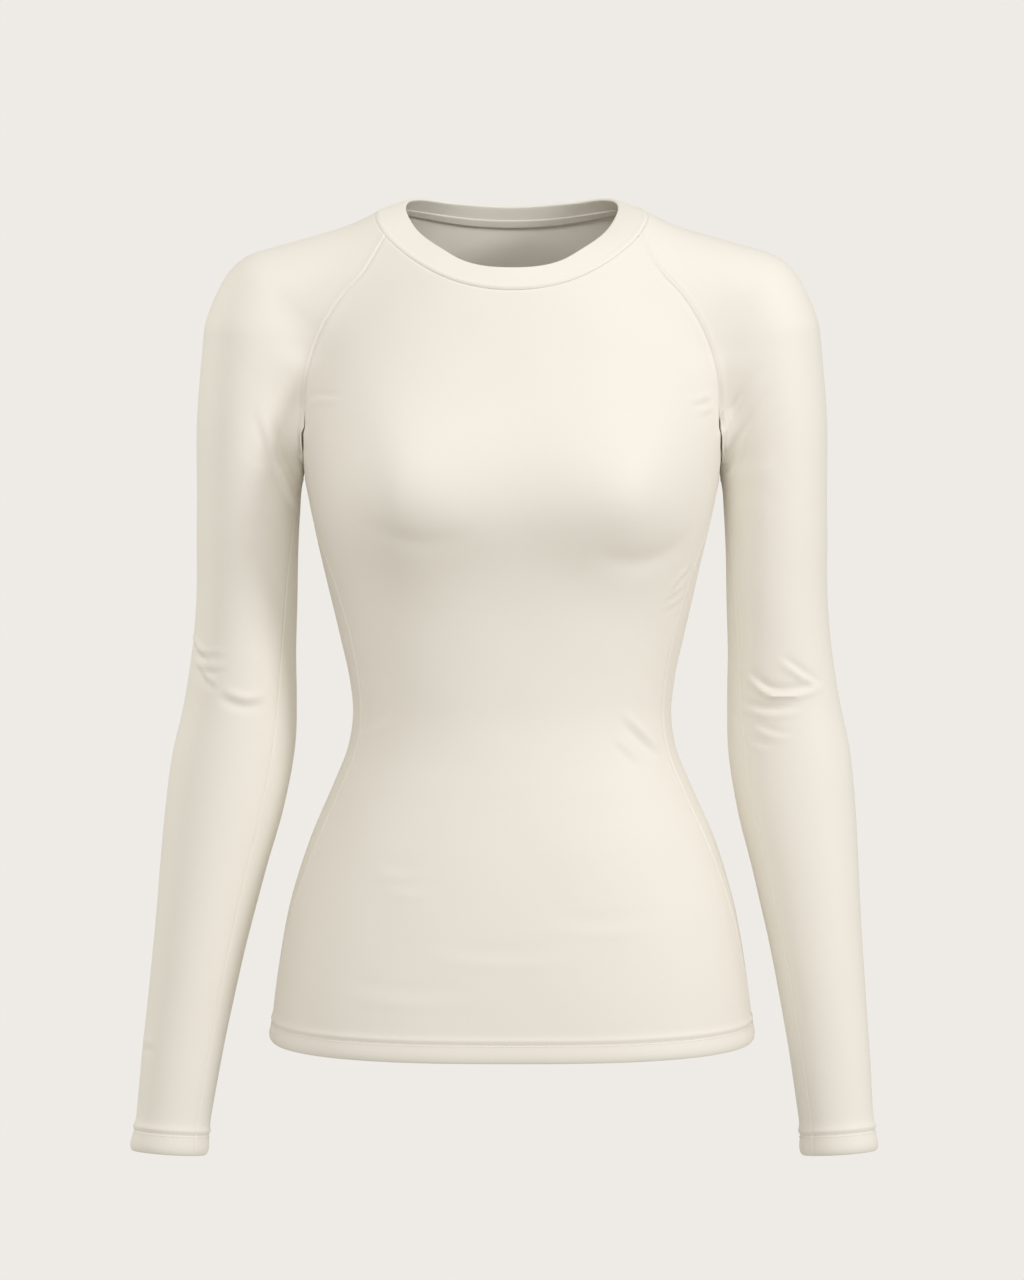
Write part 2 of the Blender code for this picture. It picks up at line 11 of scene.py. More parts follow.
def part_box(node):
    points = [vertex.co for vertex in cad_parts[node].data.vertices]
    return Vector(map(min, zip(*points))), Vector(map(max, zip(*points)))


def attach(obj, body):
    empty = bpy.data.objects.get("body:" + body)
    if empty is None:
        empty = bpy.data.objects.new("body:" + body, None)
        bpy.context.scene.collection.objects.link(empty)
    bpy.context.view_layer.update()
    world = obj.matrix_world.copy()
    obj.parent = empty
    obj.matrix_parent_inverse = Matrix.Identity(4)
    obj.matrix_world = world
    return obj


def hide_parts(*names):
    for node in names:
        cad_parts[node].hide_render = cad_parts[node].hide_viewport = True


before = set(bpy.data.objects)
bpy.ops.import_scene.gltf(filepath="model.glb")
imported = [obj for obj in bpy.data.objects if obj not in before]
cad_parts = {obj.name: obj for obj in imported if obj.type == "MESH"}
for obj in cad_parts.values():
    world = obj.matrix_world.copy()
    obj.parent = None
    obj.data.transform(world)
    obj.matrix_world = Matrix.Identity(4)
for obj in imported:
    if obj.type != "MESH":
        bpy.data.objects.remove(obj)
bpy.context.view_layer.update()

# ------------------------------------------------------------------------------------------
# Front panel. One piece of fine stretch knit, cut from hem to neck between the side seams and
# the two raglan seams. It is filled out by a dress figure, so the figure's form comes first, as
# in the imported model; creases and seams are then pressed into the cloth along its outward
# directions, and the cloth gets its thickness inwards.
MM = 0.001
HEM_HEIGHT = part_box("front_panel")[0][2]

TrunkLevel = namedtuple("TrunkLevel", "height half_width front back")
TRUNK = (
    TrunkLevel(-0.640, 0.1710, 0.110, 0.116),
    TrunkLevel(-0.581, 0.1687, 0.109, 0.117),
    TrunkLevel(-0.539, 0.1638, 0.107, 0.117),
    TrunkLevel(-0.496, 0.1557, 0.103, 0.114),
    TrunkLevel(-0.454, 0.1430, 0.097, 0.106),
    TrunkLevel(-0.412, 0.1250, 0.089, 0.095),
    TrunkLevel(-0.388, 0.1155, 0.085, 0.088),
    TrunkLevel(-0.362, 0.1120, 0.083, 0.083),
    TrunkLevel(-0.340, 0.1142, 0.084, 0.081),
    TrunkLevel(-0.306, 0.1215, 0.087, 0.083),
    TrunkLevel(-0.263, 0.1315, 0.092, 0.089),
    TrunkLevel(-0.221, 0.1405, 0.098, 0.096),
    TrunkLevel(-0.180, 0.1480, 0.098, 0.102),
    TrunkLevel(-0.140, 0.1500, 0.092, 0.104),
    TrunkLevel(-0.100, 0.1400, 0.084, 0.099),
    TrunkLevel(-0.065, 0.1150, 0.076, 0.083),
    TrunkLevel(-0.030, 0.0900, 0.066, 0.064),
    TrunkLevel(0.000, 0.0760, 0.058, 0.056),
    TrunkLevel(0.040, 0.0720, 0.054, 0.052),
)
TRUNK_POWER = 2.15
HEM_POWER = 2.55
FLATTEN_HEIGHTS = (-0.420, -0.580)

BUST_OUT = 0.074
BUST_HEIGHT = -0.208
BUST_SWELL = 0.025
BUST_WIDTH = 0.046
BUST_VALLEY = 0.40
BUST_RISE = 0.058
BUST_FALL = 0.050
BUST_START = 0.050

SHOULDER_INNER = (0.0600, 0.004, -0.0520)
SHOULDER_OUTER = (0.1655, 0.004, -0.0800)
SHOULDER_INNER_RADIUS = 0.0440
SHOULDER_OUTER_RADIUS = 0.0430

ArmLevel = namedtuple("ArmLevel", "height out back half_width half_depth")
ARM = (
    ArmLevel(-0.700, 0.2370, -0.0360, 0.0255, 0.0225),
    ArmLevel(-0.660, 0.2328, -0.0310, 0.0257, 0.0232),
    ArmLevel(-0.602, 0.2262, -0.0230, 0.0279, 0.0270),
    ArmLevel(-0.560, 0.2208, -0.0165, 0.0302, 0.0305),
    ArmLevel(-0.518, 0.2150, -0.0100, 0.0331, 0.0340),
    ArmLevel(-0.475, 0.2086, -0.0035, 0.0372, 0.0376),
    ArmLevel(-0.433, 0.2018, 0.0030, 0.0415, 0.0410),
    ArmLevel(-0.390, 0.1960, 0.0080, 0.0428, 0.0425),
    ArmLevel(-0.355, 0.1920, 0.0100, 0.0396, 0.0420),
    ArmLevel(-0.320, 0.1893, 0.0100, 0.0366, 0.0420),
    ArmLevel(-0.285, 0.1872, 0.0090, 0.0356, 0.0430),
    ArmLevel(-0.221, 0.1858, 0.0070, 0.0363, 0.0455),
    ArmLevel(-0.150, 0.1810, 0.0050, 0.0402, 0.0480),
    ArmLevel(-0.100, 0.1745, 0.0040, 0.0425, 0.0470),
)
CUFF_HEIGHT = -0.6675
ELBOW_HEIGHT = -0.370

SHOULDER_BLEND = 0.008
BRIDGE = 0.030
BRIDGE_HEIGHT = -0.115
FOLD = 0.004
FOLD_HEIGHT = -0.172
FOLD_OUT = 0.1455
FOLD_CLEARANCE = 0.0010
ARMPIT_HEIGHT = -0.190

SideSeam = namedtuple("SideSeam", "height forward")
SIDE_SEAM = (
    SideSeam(-0.591, 10.0),
    SideSeam(-0.500, 17.0),
    SideSeam(-0.420, 21.0),
    SideSeam(-0.365, 23.0),
    SideSeam(-0.290, 25.0),
    SideSeam(-0.245, 21.0),
    SideSeam(-0.212, 9.0),
    SideSeam(-0.190, 0.0),
)
Raglan = namedtuple("Raglan", "out height")
RAGLAN = {
    "front": (
        Raglan(0.1440, -0.163),
        Raglan(0.1430, -0.136),
        Raglan(0.1390, -0.115),
        Raglan(0.1310, -0.094),
        Raglan(0.1180, -0.073),
        Raglan(0.1020, -0.055),
    ),
    "back": (
        Raglan(0.1440, -0.163),
        Raglan(0.1405, -0.136),
        Raglan(0.1330, -0.111),
        Raglan(0.1200, -0.085),
        Raglan(0.1010, -0.058),
        Raglan(0.0840, -0.034),
    ),
}
CAP_LINE = (0.100, ARMPIT_HEIGHT)
CAP_REACH = (0.0845, 0.1350)

NeckTurn = namedtuple("NeckTurn", "turn seam rim")
NECK = (
    NeckTurn(-125, -0.0155, -0.0018),
    NeckTurn(-90, -0.0185, -0.0040),
    NeckTurn(-55, -0.0155, -0.0018),
    NeckTurn(-30, -0.0115, 0.0000),
    NeckTurn(-12, -0.0105, -0.0025),
    NeckTurn(0, -0.0140, -0.0070),
    NeckTurn(14, -0.0245, -0.0150),
    NeckTurn(30, -0.0390, -0.0268),
    NeckTurn(50, -0.0545, -0.0395),
    NeckTurn(62, -0.0617, -0.0472),
    NeckTurn(90, -0.0678, -0.0530),
    NeckTurn(118, -0.0617, -0.0472),
)
NECK_HALF_WIDTH = 0.0905
NECK_FRONT = 0.0790
NECK_BACK = 0.0610
NECK_CENTRE = (0.0, 0.0, -0.110)
NECK_CORNER = {"front": 27.0, "back": -36.0}


def ease(value, start, end):
    """A smooth step from 0 at start to 1 at end."""
    share = np.clip((value - start) / (end - start), 0.0, 1.0)
    return share * share * (3.0 - 2.0 * share)


def unit(vectors):
    """Vectors drawn to a length of 1."""
    return vectors / np.linalg.norm(vectors, axis=-1)[..., None]


def smooth_through(knots, values, places):
    """The smooth curve through values at knots, read at places and level beyond the ends."""
    slopes = np.gradient(values, knots)
    places = np.clip(places, knots[0], knots[-1])
    cell = np.clip(np.searchsorted(knots, places) - 1, 0, len(knots) - 2)
    width = knots[cell + 1] - knots[cell]
    share = (places - knots[cell]) / width
    rise = share * share * (3.0 - 2.0 * share)
    leave = share * (1.0 - share) ** 2 * width * slopes[cell]
    arrive = share * share * (share - 1.0) * width * slopes[cell + 1]
    return values[cell] * (1.0 - rise) + values[cell + 1] * rise + leave + arrive


def read(table, column, places):
    """A named column of a table, on a smooth curve through its rows' first column."""
    knots = np.array([row[0] for row in table], dtype=float)
    values = np.array([getattr(row, column) for row in table], dtype=float)
    return smooth_through(knots, values, np.asarray(places, dtype=float))


def blend(first, second, width):
    """The union of two fields, rounded over the width."""
    overlap = np.maximum(width - np.abs(first - second), 0.0) / width
    return np.minimum(first, second) - overlap * overlap * width / 4.0


def trunk_field(points):
    """Below zero inside the trunk, with its bust."""
    side, depth, height = np.abs(points[..., 0]), points[..., 1], points[..., 2]
    half_width = read(TRUNK, "half_width", height)
    half_depth = np.where(depth < 0, read(TRUNK, "front", height), read(TRUNK, "back", height))
    power = TRUNK_POWER + (HEM_POWER - TRUNK_POWER) * ease(height, *FLATTEN_HEIGHTS)
    ratio = (side / half_width) ** power + np.abs(depth / half_depth) ** power
    field = (ratio ** (1.0 / power) - 1.0) * np.minimum(half_width, half_depth)
    fall = np.where(height > BUST_HEIGHT, BUST_RISE, BUST_FALL)
    across = np.where(
        side > BUST_OUT,
        np.exp(-((side - BUST_OUT) / BUST_WIDTH) ** 2),
        1.0 - BUST_VALLEY * (1.0 - (side / BUST_OUT) ** 2) ** 2,
    )
    swell = BUST_SWELL * across * np.exp(-((height - BUST_HEIGHT) / fall) ** 2)
    return field - swell * ease(-depth, 0.0, BUST_START)


def shoulder_field(points):
    """Below zero inside the bar of each shoulder."""
    inner, outer = np.array(SHOULDER_INNER), np.array(SHOULDER_OUTER)
    here = points.copy()
    here[..., 0] = np.abs(here[..., 0])
    bar = outer - inner
    share = np.clip((here - inner) @ bar / (bar @ bar), 0.0, 1.0)
    radius = SHOULDER_INNER_RADIUS + share * (SHOULDER_OUTER_RADIUS - SHOULDER_INNER_RADIUS)
    return np.linalg.norm(here - inner - share[..., None] * bar, axis=-1) - radius


def arm_middle(height, swing):
    """The arm's middle at a height: how far out, and how far back."""
    lowered = np.clip((ELBOW_HEIGHT - height) / (ELBOW_HEIGHT - CUFF_HEIGHT), 0.0, None)
    return read(ARM, "out", height) + swing * lowered, read(ARM, "back", height)


def arm_field(points, swing):
    """Below zero inside either arm."""
    side, depth, height = np.abs(points[..., 0]), points[..., 1], points[..., 2]
    out, back = arm_middle(height, swing)
    half_width, half_depth = read(ARM, "half_width", height), read(ARM, "half_depth", height)
    above = np.maximum(height - ARM[-1].height, 0.0)
    ratio = np.sqrt(
        ((side - out) / half_width) ** 2 + ((depth - back) / half_depth) ** 2 + (above / half_width) ** 2
    )
    return (ratio - 1.0) * np.minimum(half_width, half_depth)


def figure(points, swing=0.0):
    """Below zero inside the dress figure, and about a distance near its surface."""
    limb = blend(shoulder_field(points), arm_field(points, swing), SHOULDER_BLEND)
    width = FOLD + (BRIDGE - FOLD) * ease(points[..., 2], FOLD_HEIGHT, BRIDGE_HEIGHT)
    return blend(trunk_field(points), limb, width)


def cast(start, directions, swing=0.0, reach=0.32, marches=64, halvings=15):
    """Where lines that start inside the figure first leave it."""
    start = np.broadcast_to(np.asarray(start, dtype=float), directions.shape)
    directions = unit(directions)
    inside = np.zeros(directions.shape[:-1])
    outside = np.full(directions.shape[:-1], reach)
    found = np.zeros(directions.shape[:-1], dtype=bool)
    for distance in np.linspace(0.0, reach, marches):
        out_here = figure(start + directions * distance, swing) > 0.0
        outside = np.where(out_here & ~found, distance, outside)
        found |= out_here
        inside = np.where(found, inside, distance)
    for _ in range(halvings):
        middle = (inside + outside) / 2.0
        out_here = figure(start + directions * middle[..., None], swing) > 0.0
        outside = np.where(out_here, middle, outside)
        inside = np.where(out_here, inside, middle)
    return start + directions * outside[..., None]


def outward(points, swing=0.0, probe=0.0004):
    """The figure's outward directions at points on its surface."""
    shifts = np.eye(3) * probe
    slopes = [figure(points + shift, swing) - figure(points - shift, swing) for shift in shifts]
    return unit(np.stack(slopes, axis=-1))


def lengths_along(points):
    """How far along its row each point of a grid is."""
    steps = np.linalg.norm(np.diff(points, axis=-2), axis=-1)
    return np.concatenate([np.zeros(steps.shape[:-1] + (1,)), np.cumsum(steps, axis=-1)], axis=-1)


def points_at(places, lengths, points):
    """The points at places along a line whose points are lengths along it."""
    return np.stack([np.interp(places, lengths, points[:, axis]) for axis in range(3)], axis=-1)


def neck_line(turns):
    """The neck seam on the figure, at turns in degrees from the side towards the front."""
    angles = np.radians(turns)
    depth = np.where(angles > 0.0, -NECK_FRONT, NECK_BACK) * np.abs(np.sin(angles))
    aim = np.stack([NECK_HALF_WIDTH * np.cos(angles), depth, read(NECK, "seam", turns)], axis=1)
    return cast(NECK_CENTRE, aim - NECK_CENTRE)


def spaced(start, end, step):
    """Places from start up to, but not at, end, about a step apart."""
    return list(np.linspace(start, end, max(2, round(abs(end - start) / step) + 1))[:-1])


# Cells are small beside a seam, where the cloth is pressed to a groove.
NEAR_SEAM = np.array([0.0, 0.45, 0.9, 1.4, 2.0, 2.8, 4.0, 5.6, 7.6]) * MM
RAGLAN_STEP = 2.3 * MM
FOLD_ROWS = 12


def armhole(side):
    """The armhole's edge on the front or back, from the armpit to the neck.

    It gives the edge's points, their turns about the sleeve's cap line, and their share of the
    way up.
    """
    facing = -1.0 if side == "front" else 1.0
    corner = neck_line(np.array([NECK_CORNER[side]]))[0]
    knots = np.array([tuple(row) for row in RAGLAN[side]] + [(corner[0], corner[2])])
    count = len(knots)
    fine = np.linspace(0, count - 1, 60 * count)
    out = smooth_through(np.arange(count, dtype=float), knots[:, 0], fine)
    height = smooth_through(np.arange(count, dtype=float), knots[:, 1], fine)
    seen = np.stack([out, 0.0 * out, height], axis=1)
    seam = cast(seen, np.tile((0.0, facing, 0.0), (len(seen), 1)))
    seam[-1] = corner
    lengths = lengths_along(seam)
    whole = lengths[-1]
    close = whole - NEAR_SEAM[::-1]
    places = np.array(spaced(0.0, close[0], RAGLAN_STEP) + list(close))
    raglan = points_at(places, lengths, seam)
    lean = np.linspace(0.0, math.pi / 2, FOLD_ROWS, endpoint=False)
    drop = knots[0, 1] - CAP_LINE[1]
    low = np.stack([FOLD_OUT + 0.0 * lean, raglan[0, 1] * np.sin(lean),
                    CAP_LINE[1] + drop * (1.0 - np.cos(lean))], axis=1)
    edge = np.vstack([low, raglan])
    turns = np.arctan2(edge[:, 2] - CAP_LINE[1], edge[:, 0] - CAP_LINE[0])
    climb = lengths_along(edge)
    return edge, turns, climb / climb[-1]


def armhole_side(edge, facing):
    """The armhole's edge on the trunk's or the sleeve's side of the fold under the arm."""
    drawn = edge.copy()
    drawn[:FOLD_ROWS, 0] += facing * FOLD_CLEARANCE / 2
    return drawn


def panel_direction(angle, height):
    """The way out from the trunk's middle, at an angle from straight forward."""
    half_width = read(TRUNK, "half_width", height)
    half_depth = np.where(np.cos(angle) > 0, read(TRUNK, "front", height), read(TRUNK, "back", height))
    return np.stack([half_width * np.sin(angle), -half_depth * np.cos(angle), 0.0 * angle], axis=-1)


def seam_angle(points):
    """The angles, as panel_direction takes them, that lead to points."""
    front_depth = read(TRUNK, "front", points[:, 2])
    back_depth = read(TRUNK, "back", points[:, 2])
    half_depth = np.where(points[:, 1] < 0, front_depth, back_depth)
    return np.arctan2(points[:, 0] / read(TRUNK, "half_width", points[:, 2]), -points[:, 1] / half_depth)


# A line is lost when it runs this much further than it is likely to. Above the wall's height,
# cloth can meet the fold under the arm.
LOST = 1.3
WALL_HEIGHT = -0.250
DRAWN_REACH = 16.0 * MM
HARDLY = 0.1 * MM
SETTLING_ROUNDS = 6


def settle(points, swing):
    """The figure's surface close to points."""
    for _ in range(SETTLING_ROUNDS):
        points = points - outward(points, swing) * figure(points, swing)[..., None]
    return points


def lay(rays, rows, spread, swing, wall, facing, walled):
    """Rows of points on the figure, with their outward directions.

    rays gives each row's lines from a share of the way along it, and about how long they are;
    spread says how far along its length the points go. A line that runs on into the next limb
    is cut to its length. Next to the fold under the arm, the cloth of walled rows stops at the
    fold's wall.
    """
    def meet(share):
        """Where the lines at shares along the rows leave the figure, and the ways out there."""
        start, directions, likely = rays(share)
        points = cast(start, directions, swing)
        lost = (np.linalg.norm(points - start, axis=-1) > LOST * likely) & ~walled[:, None]
        near = settle(start + unit(directions) * likely[..., None], swing)
        points = np.where(lost[..., None], near, points)
        normals = outward(points, swing)
        over = ((points[..., 0] - wall) * facing > 0.0) & walled[:, None]
        gone = np.where(over, points[..., 0] - start[..., 0], 1.0)
        stopped = start + (points - start) * ((wall - start[..., 0]) / gone)[..., None]
        normals = np.where(over[..., None], (facing, 0.0, 0.0), normals)
        return np.where(over[..., None], stopped, points), normals

    rough = np.linspace(0.0, 1.0, 81)
    lengths = lengths_along(meet(np.tile(rough, (rows, 1)))[0])
    share = np.array([np.interp(spread(row[-1]), row, rough) for row in lengths])
    return meet(share)


def drawn_to(points, column, targets):
    """A grid whose first or last column is drawn to its seam, and the cloth beside it with it."""
    pull = targets - points[:, column]
    lengths = lengths_along(points)
    away = np.abs(lengths - lengths[:, column][:, None])
    return points + pull[:, None] * (1.0 - ease(away, 0.0, DRAWN_REACH))[..., None]


HEM_ROWS = np.array([0.0, 0.12, 0.45, 1.1, 2.5, 5.0, 8.0, 10.5, 11.6, 12.3, 12.8, 13.3, 13.9, 14.7,
                     15.5, 16.3, 17.2, 18.4, 20.0, 22.0]) * MM
TRUNK_LENGTH = 0.300
LIFT_START = 0.15
# How much wider a panel's cells are at its middle than the steps of an even row.
MIDDLE_CELLS = 1.3
Panel = namedtuple("Panel", "opposite half_columns row_step")
PANELS = {"front": Panel(0.0, 72, 2.5 * MM), "back": Panel(math.pi, 60, 3.0 * MM)}


def panel_surface(side):
    """The front or back: rows of points from hem to neck, with their outward directions."""
    opposite, half_columns, row_step = PANELS[side]
    edge, _, climb = armhole(side)
    above_hem = spaced(HEM_HEIGHT + HEM_ROWS[-1], ARMPIT_HEIGHT, row_step)
    low = np.array(list(HEM_HEIGHT + HEM_ROWS[:-1]) + above_hem)
    heights = np.concatenate([low, edge[:, 2]])
    angles = np.concatenate([np.radians(90.0 - read(SIDE_SEAM, "forward", low)), seam_angle(edge)])
    lift = ease(np.concatenate([0.0 * low, climb]), LIFT_START, 1.0)
    neck = neck_line(np.linspace(90.0 if side == "front" else -90.0, NECK_CORNER[side], 91))
    neck_angles = seam_angle(neck)
    fractions = (neck_angles - opposite) / (neck_angles[-1] - opposite)

    def rays(share):
        """Lines out from the trunk's middle, at shares of the way to the side seam."""
        rise = np.interp(share, fractions, neck[:, 2] - neck[-1, 2])
        level = heights[:, None] + lift[:, None] * rise
        turn = opposite + (angles[:, None] - opposite) * share
        start = np.stack([0.0 * level, 0.0 * level, level], axis=-1)
        return start, panel_direction(turn, level), np.full(level.shape, TRUNK_LENGTH)

    def spread(length):
        """Places along a row, widest apart at the middle and close beside the seam."""
        open_share = np.linspace(0.0, 1.0, half_columns + 1)
        widening = MIDDLE_CELLS - (MIDDLE_CELLS - 1.0) * open_share
        middle = (length - NEAR_SEAM[-1]) * open_share * widening
        return np.concatenate([middle, length - NEAR_SEAM[-2::-1]])

    wall = FOLD_OUT - FOLD_CLEARANCE / 2
    points, normals = lay(rays, len(heights), spread, 0.0, wall, 1.0, heights > WALL_HEIGHT)
    points[len(low):] = drawn_to(points[len(low):], -1, armhole_side(edge, -1.0))
    mirrored = (-1.0, 1.0, 1.0)
    points = np.concatenate([points[:, :0:-1] * mirrored, points], axis=1)
    normals = np.concatenate([normals[:, :0:-1] * mirrored, normals], axis=1)
    return points, normals


def resample(line, step):
    """Points about a step apart along a line, and the way it goes at each."""
    lengths = lengths_along(line)
    places = np.linspace(0.0, lengths[-1], max(3, round(lengths[-1] / step) + 1))
    points = points_at(places, lengths, line)
    return points, unit(np.gradient(points, axis=0))


FINE_STEP = 0.3 * MM


def away_from(points, line):
    """How far each point of a grid is from a line."""
    spots = resample(line, FINE_STEP)[0]
    tree = KDTree(len(spots))
    for number, spot in enumerate(spots):
        tree.insert(spot, number)
    tree.balance()
    return np.array([tree.find(point)[2] for point in points.reshape(-1, 3)]).reshape(points.shape[:-1])


# A crease is a soft ridge with a trough beside it. Its path is given as it is seen from the
# front, the back or the outer side, in millimetres: how far out, or back, and the height.
Crease = namedtuple("Crease", "seen path width rise trough")
PRESS = 1.9
NARROW = 0.85
TROUGH_PLACE = 1.9
TROUGH_WIDTH = 1.2
CREASE_STEP = 0.8 * MM
# How many of its widths a crease reaches, and how its height tapers along it.
CREASE_REACH = 5.0
TAPER_LEAN = 0.85
TAPER_POWER = 1.2
VIEWS = {"front": (0.0, -1.0, 0.0), "back": (0.0, 1.0, 0.0), "side": (1.0, 0.0, 0.0)}


def crease_line(crease, swing, on_arm):
    """The points of a crease on the figure, and the way across it at each."""
    path = np.array(crease.path) * MM
    knots = np.arange(len(path), dtype=float)
    fine = np.linspace(0.0, knots[-1], 60)
    along = smooth_through(knots, path[:, 0], fine)
    height = smooth_through(knots, path[:, 1], fine)
    out, back = arm_middle(height, swing) if on_arm else (0.0 * height, 0.0 * height)
    if crease.seen == "side":
        start = np.stack([out, along, height], axis=1)
    else:
        start = np.stack([along, back, height], axis=1)
    line, ways = resample(cast(start, np.tile(VIEWS[crease.seen], (len(start), 1)), swing), CREASE_STEP)
    return line, unit(np.cross(outward(line, swing), ways))


def pressed(points, creases, swing=0.0, on_arm=False):
    """How far the creases lift the cloth at each point of a grid."""
    relief = np.zeros(points.shape[:-1])
    for crease in creases:
        line, across = crease_line(crease, swing, on_arm)
        width = NARROW * crease.width * MM
        middle = line.mean(axis=0)
        reach = np.linalg.norm(line - middle, axis=1).max() + CREASE_REACH * width
        near = np.linalg.norm(points - middle, axis=-1) < reach
        steps = points[near][:, None] - line[None]
        nearest = np.argmin(np.linalg.norm(steps, axis=2), axis=1)
        offset = np.sum(steps[np.arange(len(nearest)), nearest] * across[nearest], axis=1) / width
        share = nearest / (len(line) - 1)
        taper = np.sin(math.pi * share ** TAPER_LEAN) ** TAPER_POWER
        ridge = PRESS * crease.rise * (1.0 + offset ** 2) ** -2
        beyond = (offset - TROUGH_PLACE) / TROUGH_WIDTH
        trough = PRESS * crease.trough * (1.0 + beyond ** 2) ** -2
        relief[near] += (ridge - trough) * taper * MM
    return relief


SLOW_WAVER = 0.22 * MM
QUICK_WAVER = 0.10 * MM


def unevenness(points):
    """The slight, slow waver of cloth that nothing holds quite flat."""
    side, depth, height = points[..., 0], points[..., 1], points[..., 2]
    slow = np.sin(38.0 * side + 15.0 * height + 1.0) * np.sin(31.0 * height - 12.0 * depth)
    quick = np.sin(83.0 * height + 29.0 * side) * np.sin(67.0 * side - 41.0 * depth + 2.0)
    return SLOW_WAVER * slow + QUICK_WAVER * quick


# The cloth's step and thickness above a turned and coverstitched hem, in millimetres.
HemStep = namedtuple("HemStep", "above out thickness")
HEM_PROFILE = (
    HemStep(0.0, -1.10, 0.15),
    HemStep(0.12, -0.35, 1.20),
    HemStep(0.45, 0.10, 2.00),
    HemStep(1.1, 0.50, 2.40),
    HemStep(10.5, 0.60, 2.40),
    HemStep(12.0, 0.38, 2.20),
    HemStep(12.8, 0.05, 1.90),
    HemStep(13.6, 0.35, 2.10),
    HemStep(15.6, 0.95, 2.30),
    HemStep(17.2, 0.45, 1.70),
    HemStep(19.0, 0.10, 1.30),
    HemStep(22.0, 0.00, 1.20),
)


def hem_relief(above, profile):
    """The outward step and the thickness of the cloth at distances above a hem's edge."""
    return read(profile, "out", above / MM) * MM, read(profile, "thickness", above / MM) * MM


# The depth and width of the step down into each kind of seam, in millimetres.
SEAM_GROOVE = (0.55, 0.8)
NECK_GROOVE = (0.50, 0.8)
UNDER_GROOVE = (0.35, 0.7)


def groove(distance, depth, width):
    """The step down into a seam, with its depth and width in millimetres."""
    return -depth * MM * np.exp(-(distance / (width * MM)) ** 2)


def cut_map(points):
    """Each point's place on the flat piece: across from its middle, and up from its hem."""
    across = lengths_along(points)
    across -= across[:, -1:] / 2
    middle = points[:, points.shape[1] // 2]
    return np.stack([across, np.repeat(lengths_along(middle)[:, None], points.shape[1], axis=1)], axis=-1)


def set_out(name, data):
    """An object in the scene for a mesh, a lamp or the camera."""
    made = bpy.data.objects.new(name, data)
    bpy.context.collection.objects.link(made)
    return made


SHARP_ANGLE = math.radians(70.0)


def cloth_shell(name, face, inward, cut, finish, flip=False, closed=False):
    """A wall of cloth whose outer face is a grid of points, extruded inwards."""
    rows, columns = face.shape[:2]
    shell = bmesh.new()
    back_way = shell.verts.layers.float_vector.new("inward")
    place = shell.verts.layers.float_vector.new("place")
    flat = shell.loops.layers.uv.new("cut")
    made = bmesh.ops.create_grid(shell, x_segments=columns - 1, y_segments=rows - 1, size=1.0)
    for vertex in made["verts"]:
        column = round((vertex.co.x + 1.0) / 2.0 * (columns - 1))
        row = round((vertex.co.y + 1.0) / 2.0 * (rows - 1))
        vertex.co = face[row, column]
        vertex[back_way] = inward[row, column]
        vertex[place] = (*cut[row, column], 0.0)
    for cell in shell.faces:
        for corner in cell.loops:
            corner[flat].uv = corner.vert[place][:2]
    bmesh.ops.remove_doubles(shell, verts=shell.verts, dist=1e-6)
    if not closed:
        extruded = bmesh.ops.extrude_face_region(shell, geom=shell.faces[:])
        for vertex in [item for item in extruded["geom"] if isinstance(item, bmesh.types.BMVert)]:
            vertex.co += vertex[back_way]
    if flip:
        bmesh.ops.scale(shell, vec=(-1.0, 1.0, 1.0), verts=shell.verts)
    bmesh.ops.recalc_face_normals(shell, faces=shell.faces)
    shell.verts.layers.float_vector.remove(shell.verts.layers.float_vector["inward"])
    shell.verts.layers.float_vector.remove(shell.verts.layers.float_vector["place"])
    mesh = bpy.data.meshes.new(name)
    shell.to_mesh(mesh)
    shell.free()
    mesh.shade_smooth()
    mesh.set_sharp_from_angle(angle=SHARP_ANGLE)
    mesh.materials.append(finish)
    return set_out(name, mesh)


def calculate(tree, operation, *values):
    """A math node on sockets and numbers."""
    node = tree.nodes.new("ShaderNodeMath")
    node.operation = operation
    for socket, value in zip(node.inputs, values):
        if isinstance(value, bpy.types.NodeSocket):
            tree.links.new(value, socket)
        else:
            socket.default_value = value
    return node.outputs[0]


def noise_on(tree, place, scale, detail=2.0):
    """An even noise over a place's socket."""
    noise = tree.nodes.new("ShaderNodeTexNoise")
    noise.inputs["Scale"].default_value = scale
    noise.inputs["Detail"].default_value = detail
    tree.links.new(place, noise.inputs["Vector"])
    return noise.outputs["Fac"]


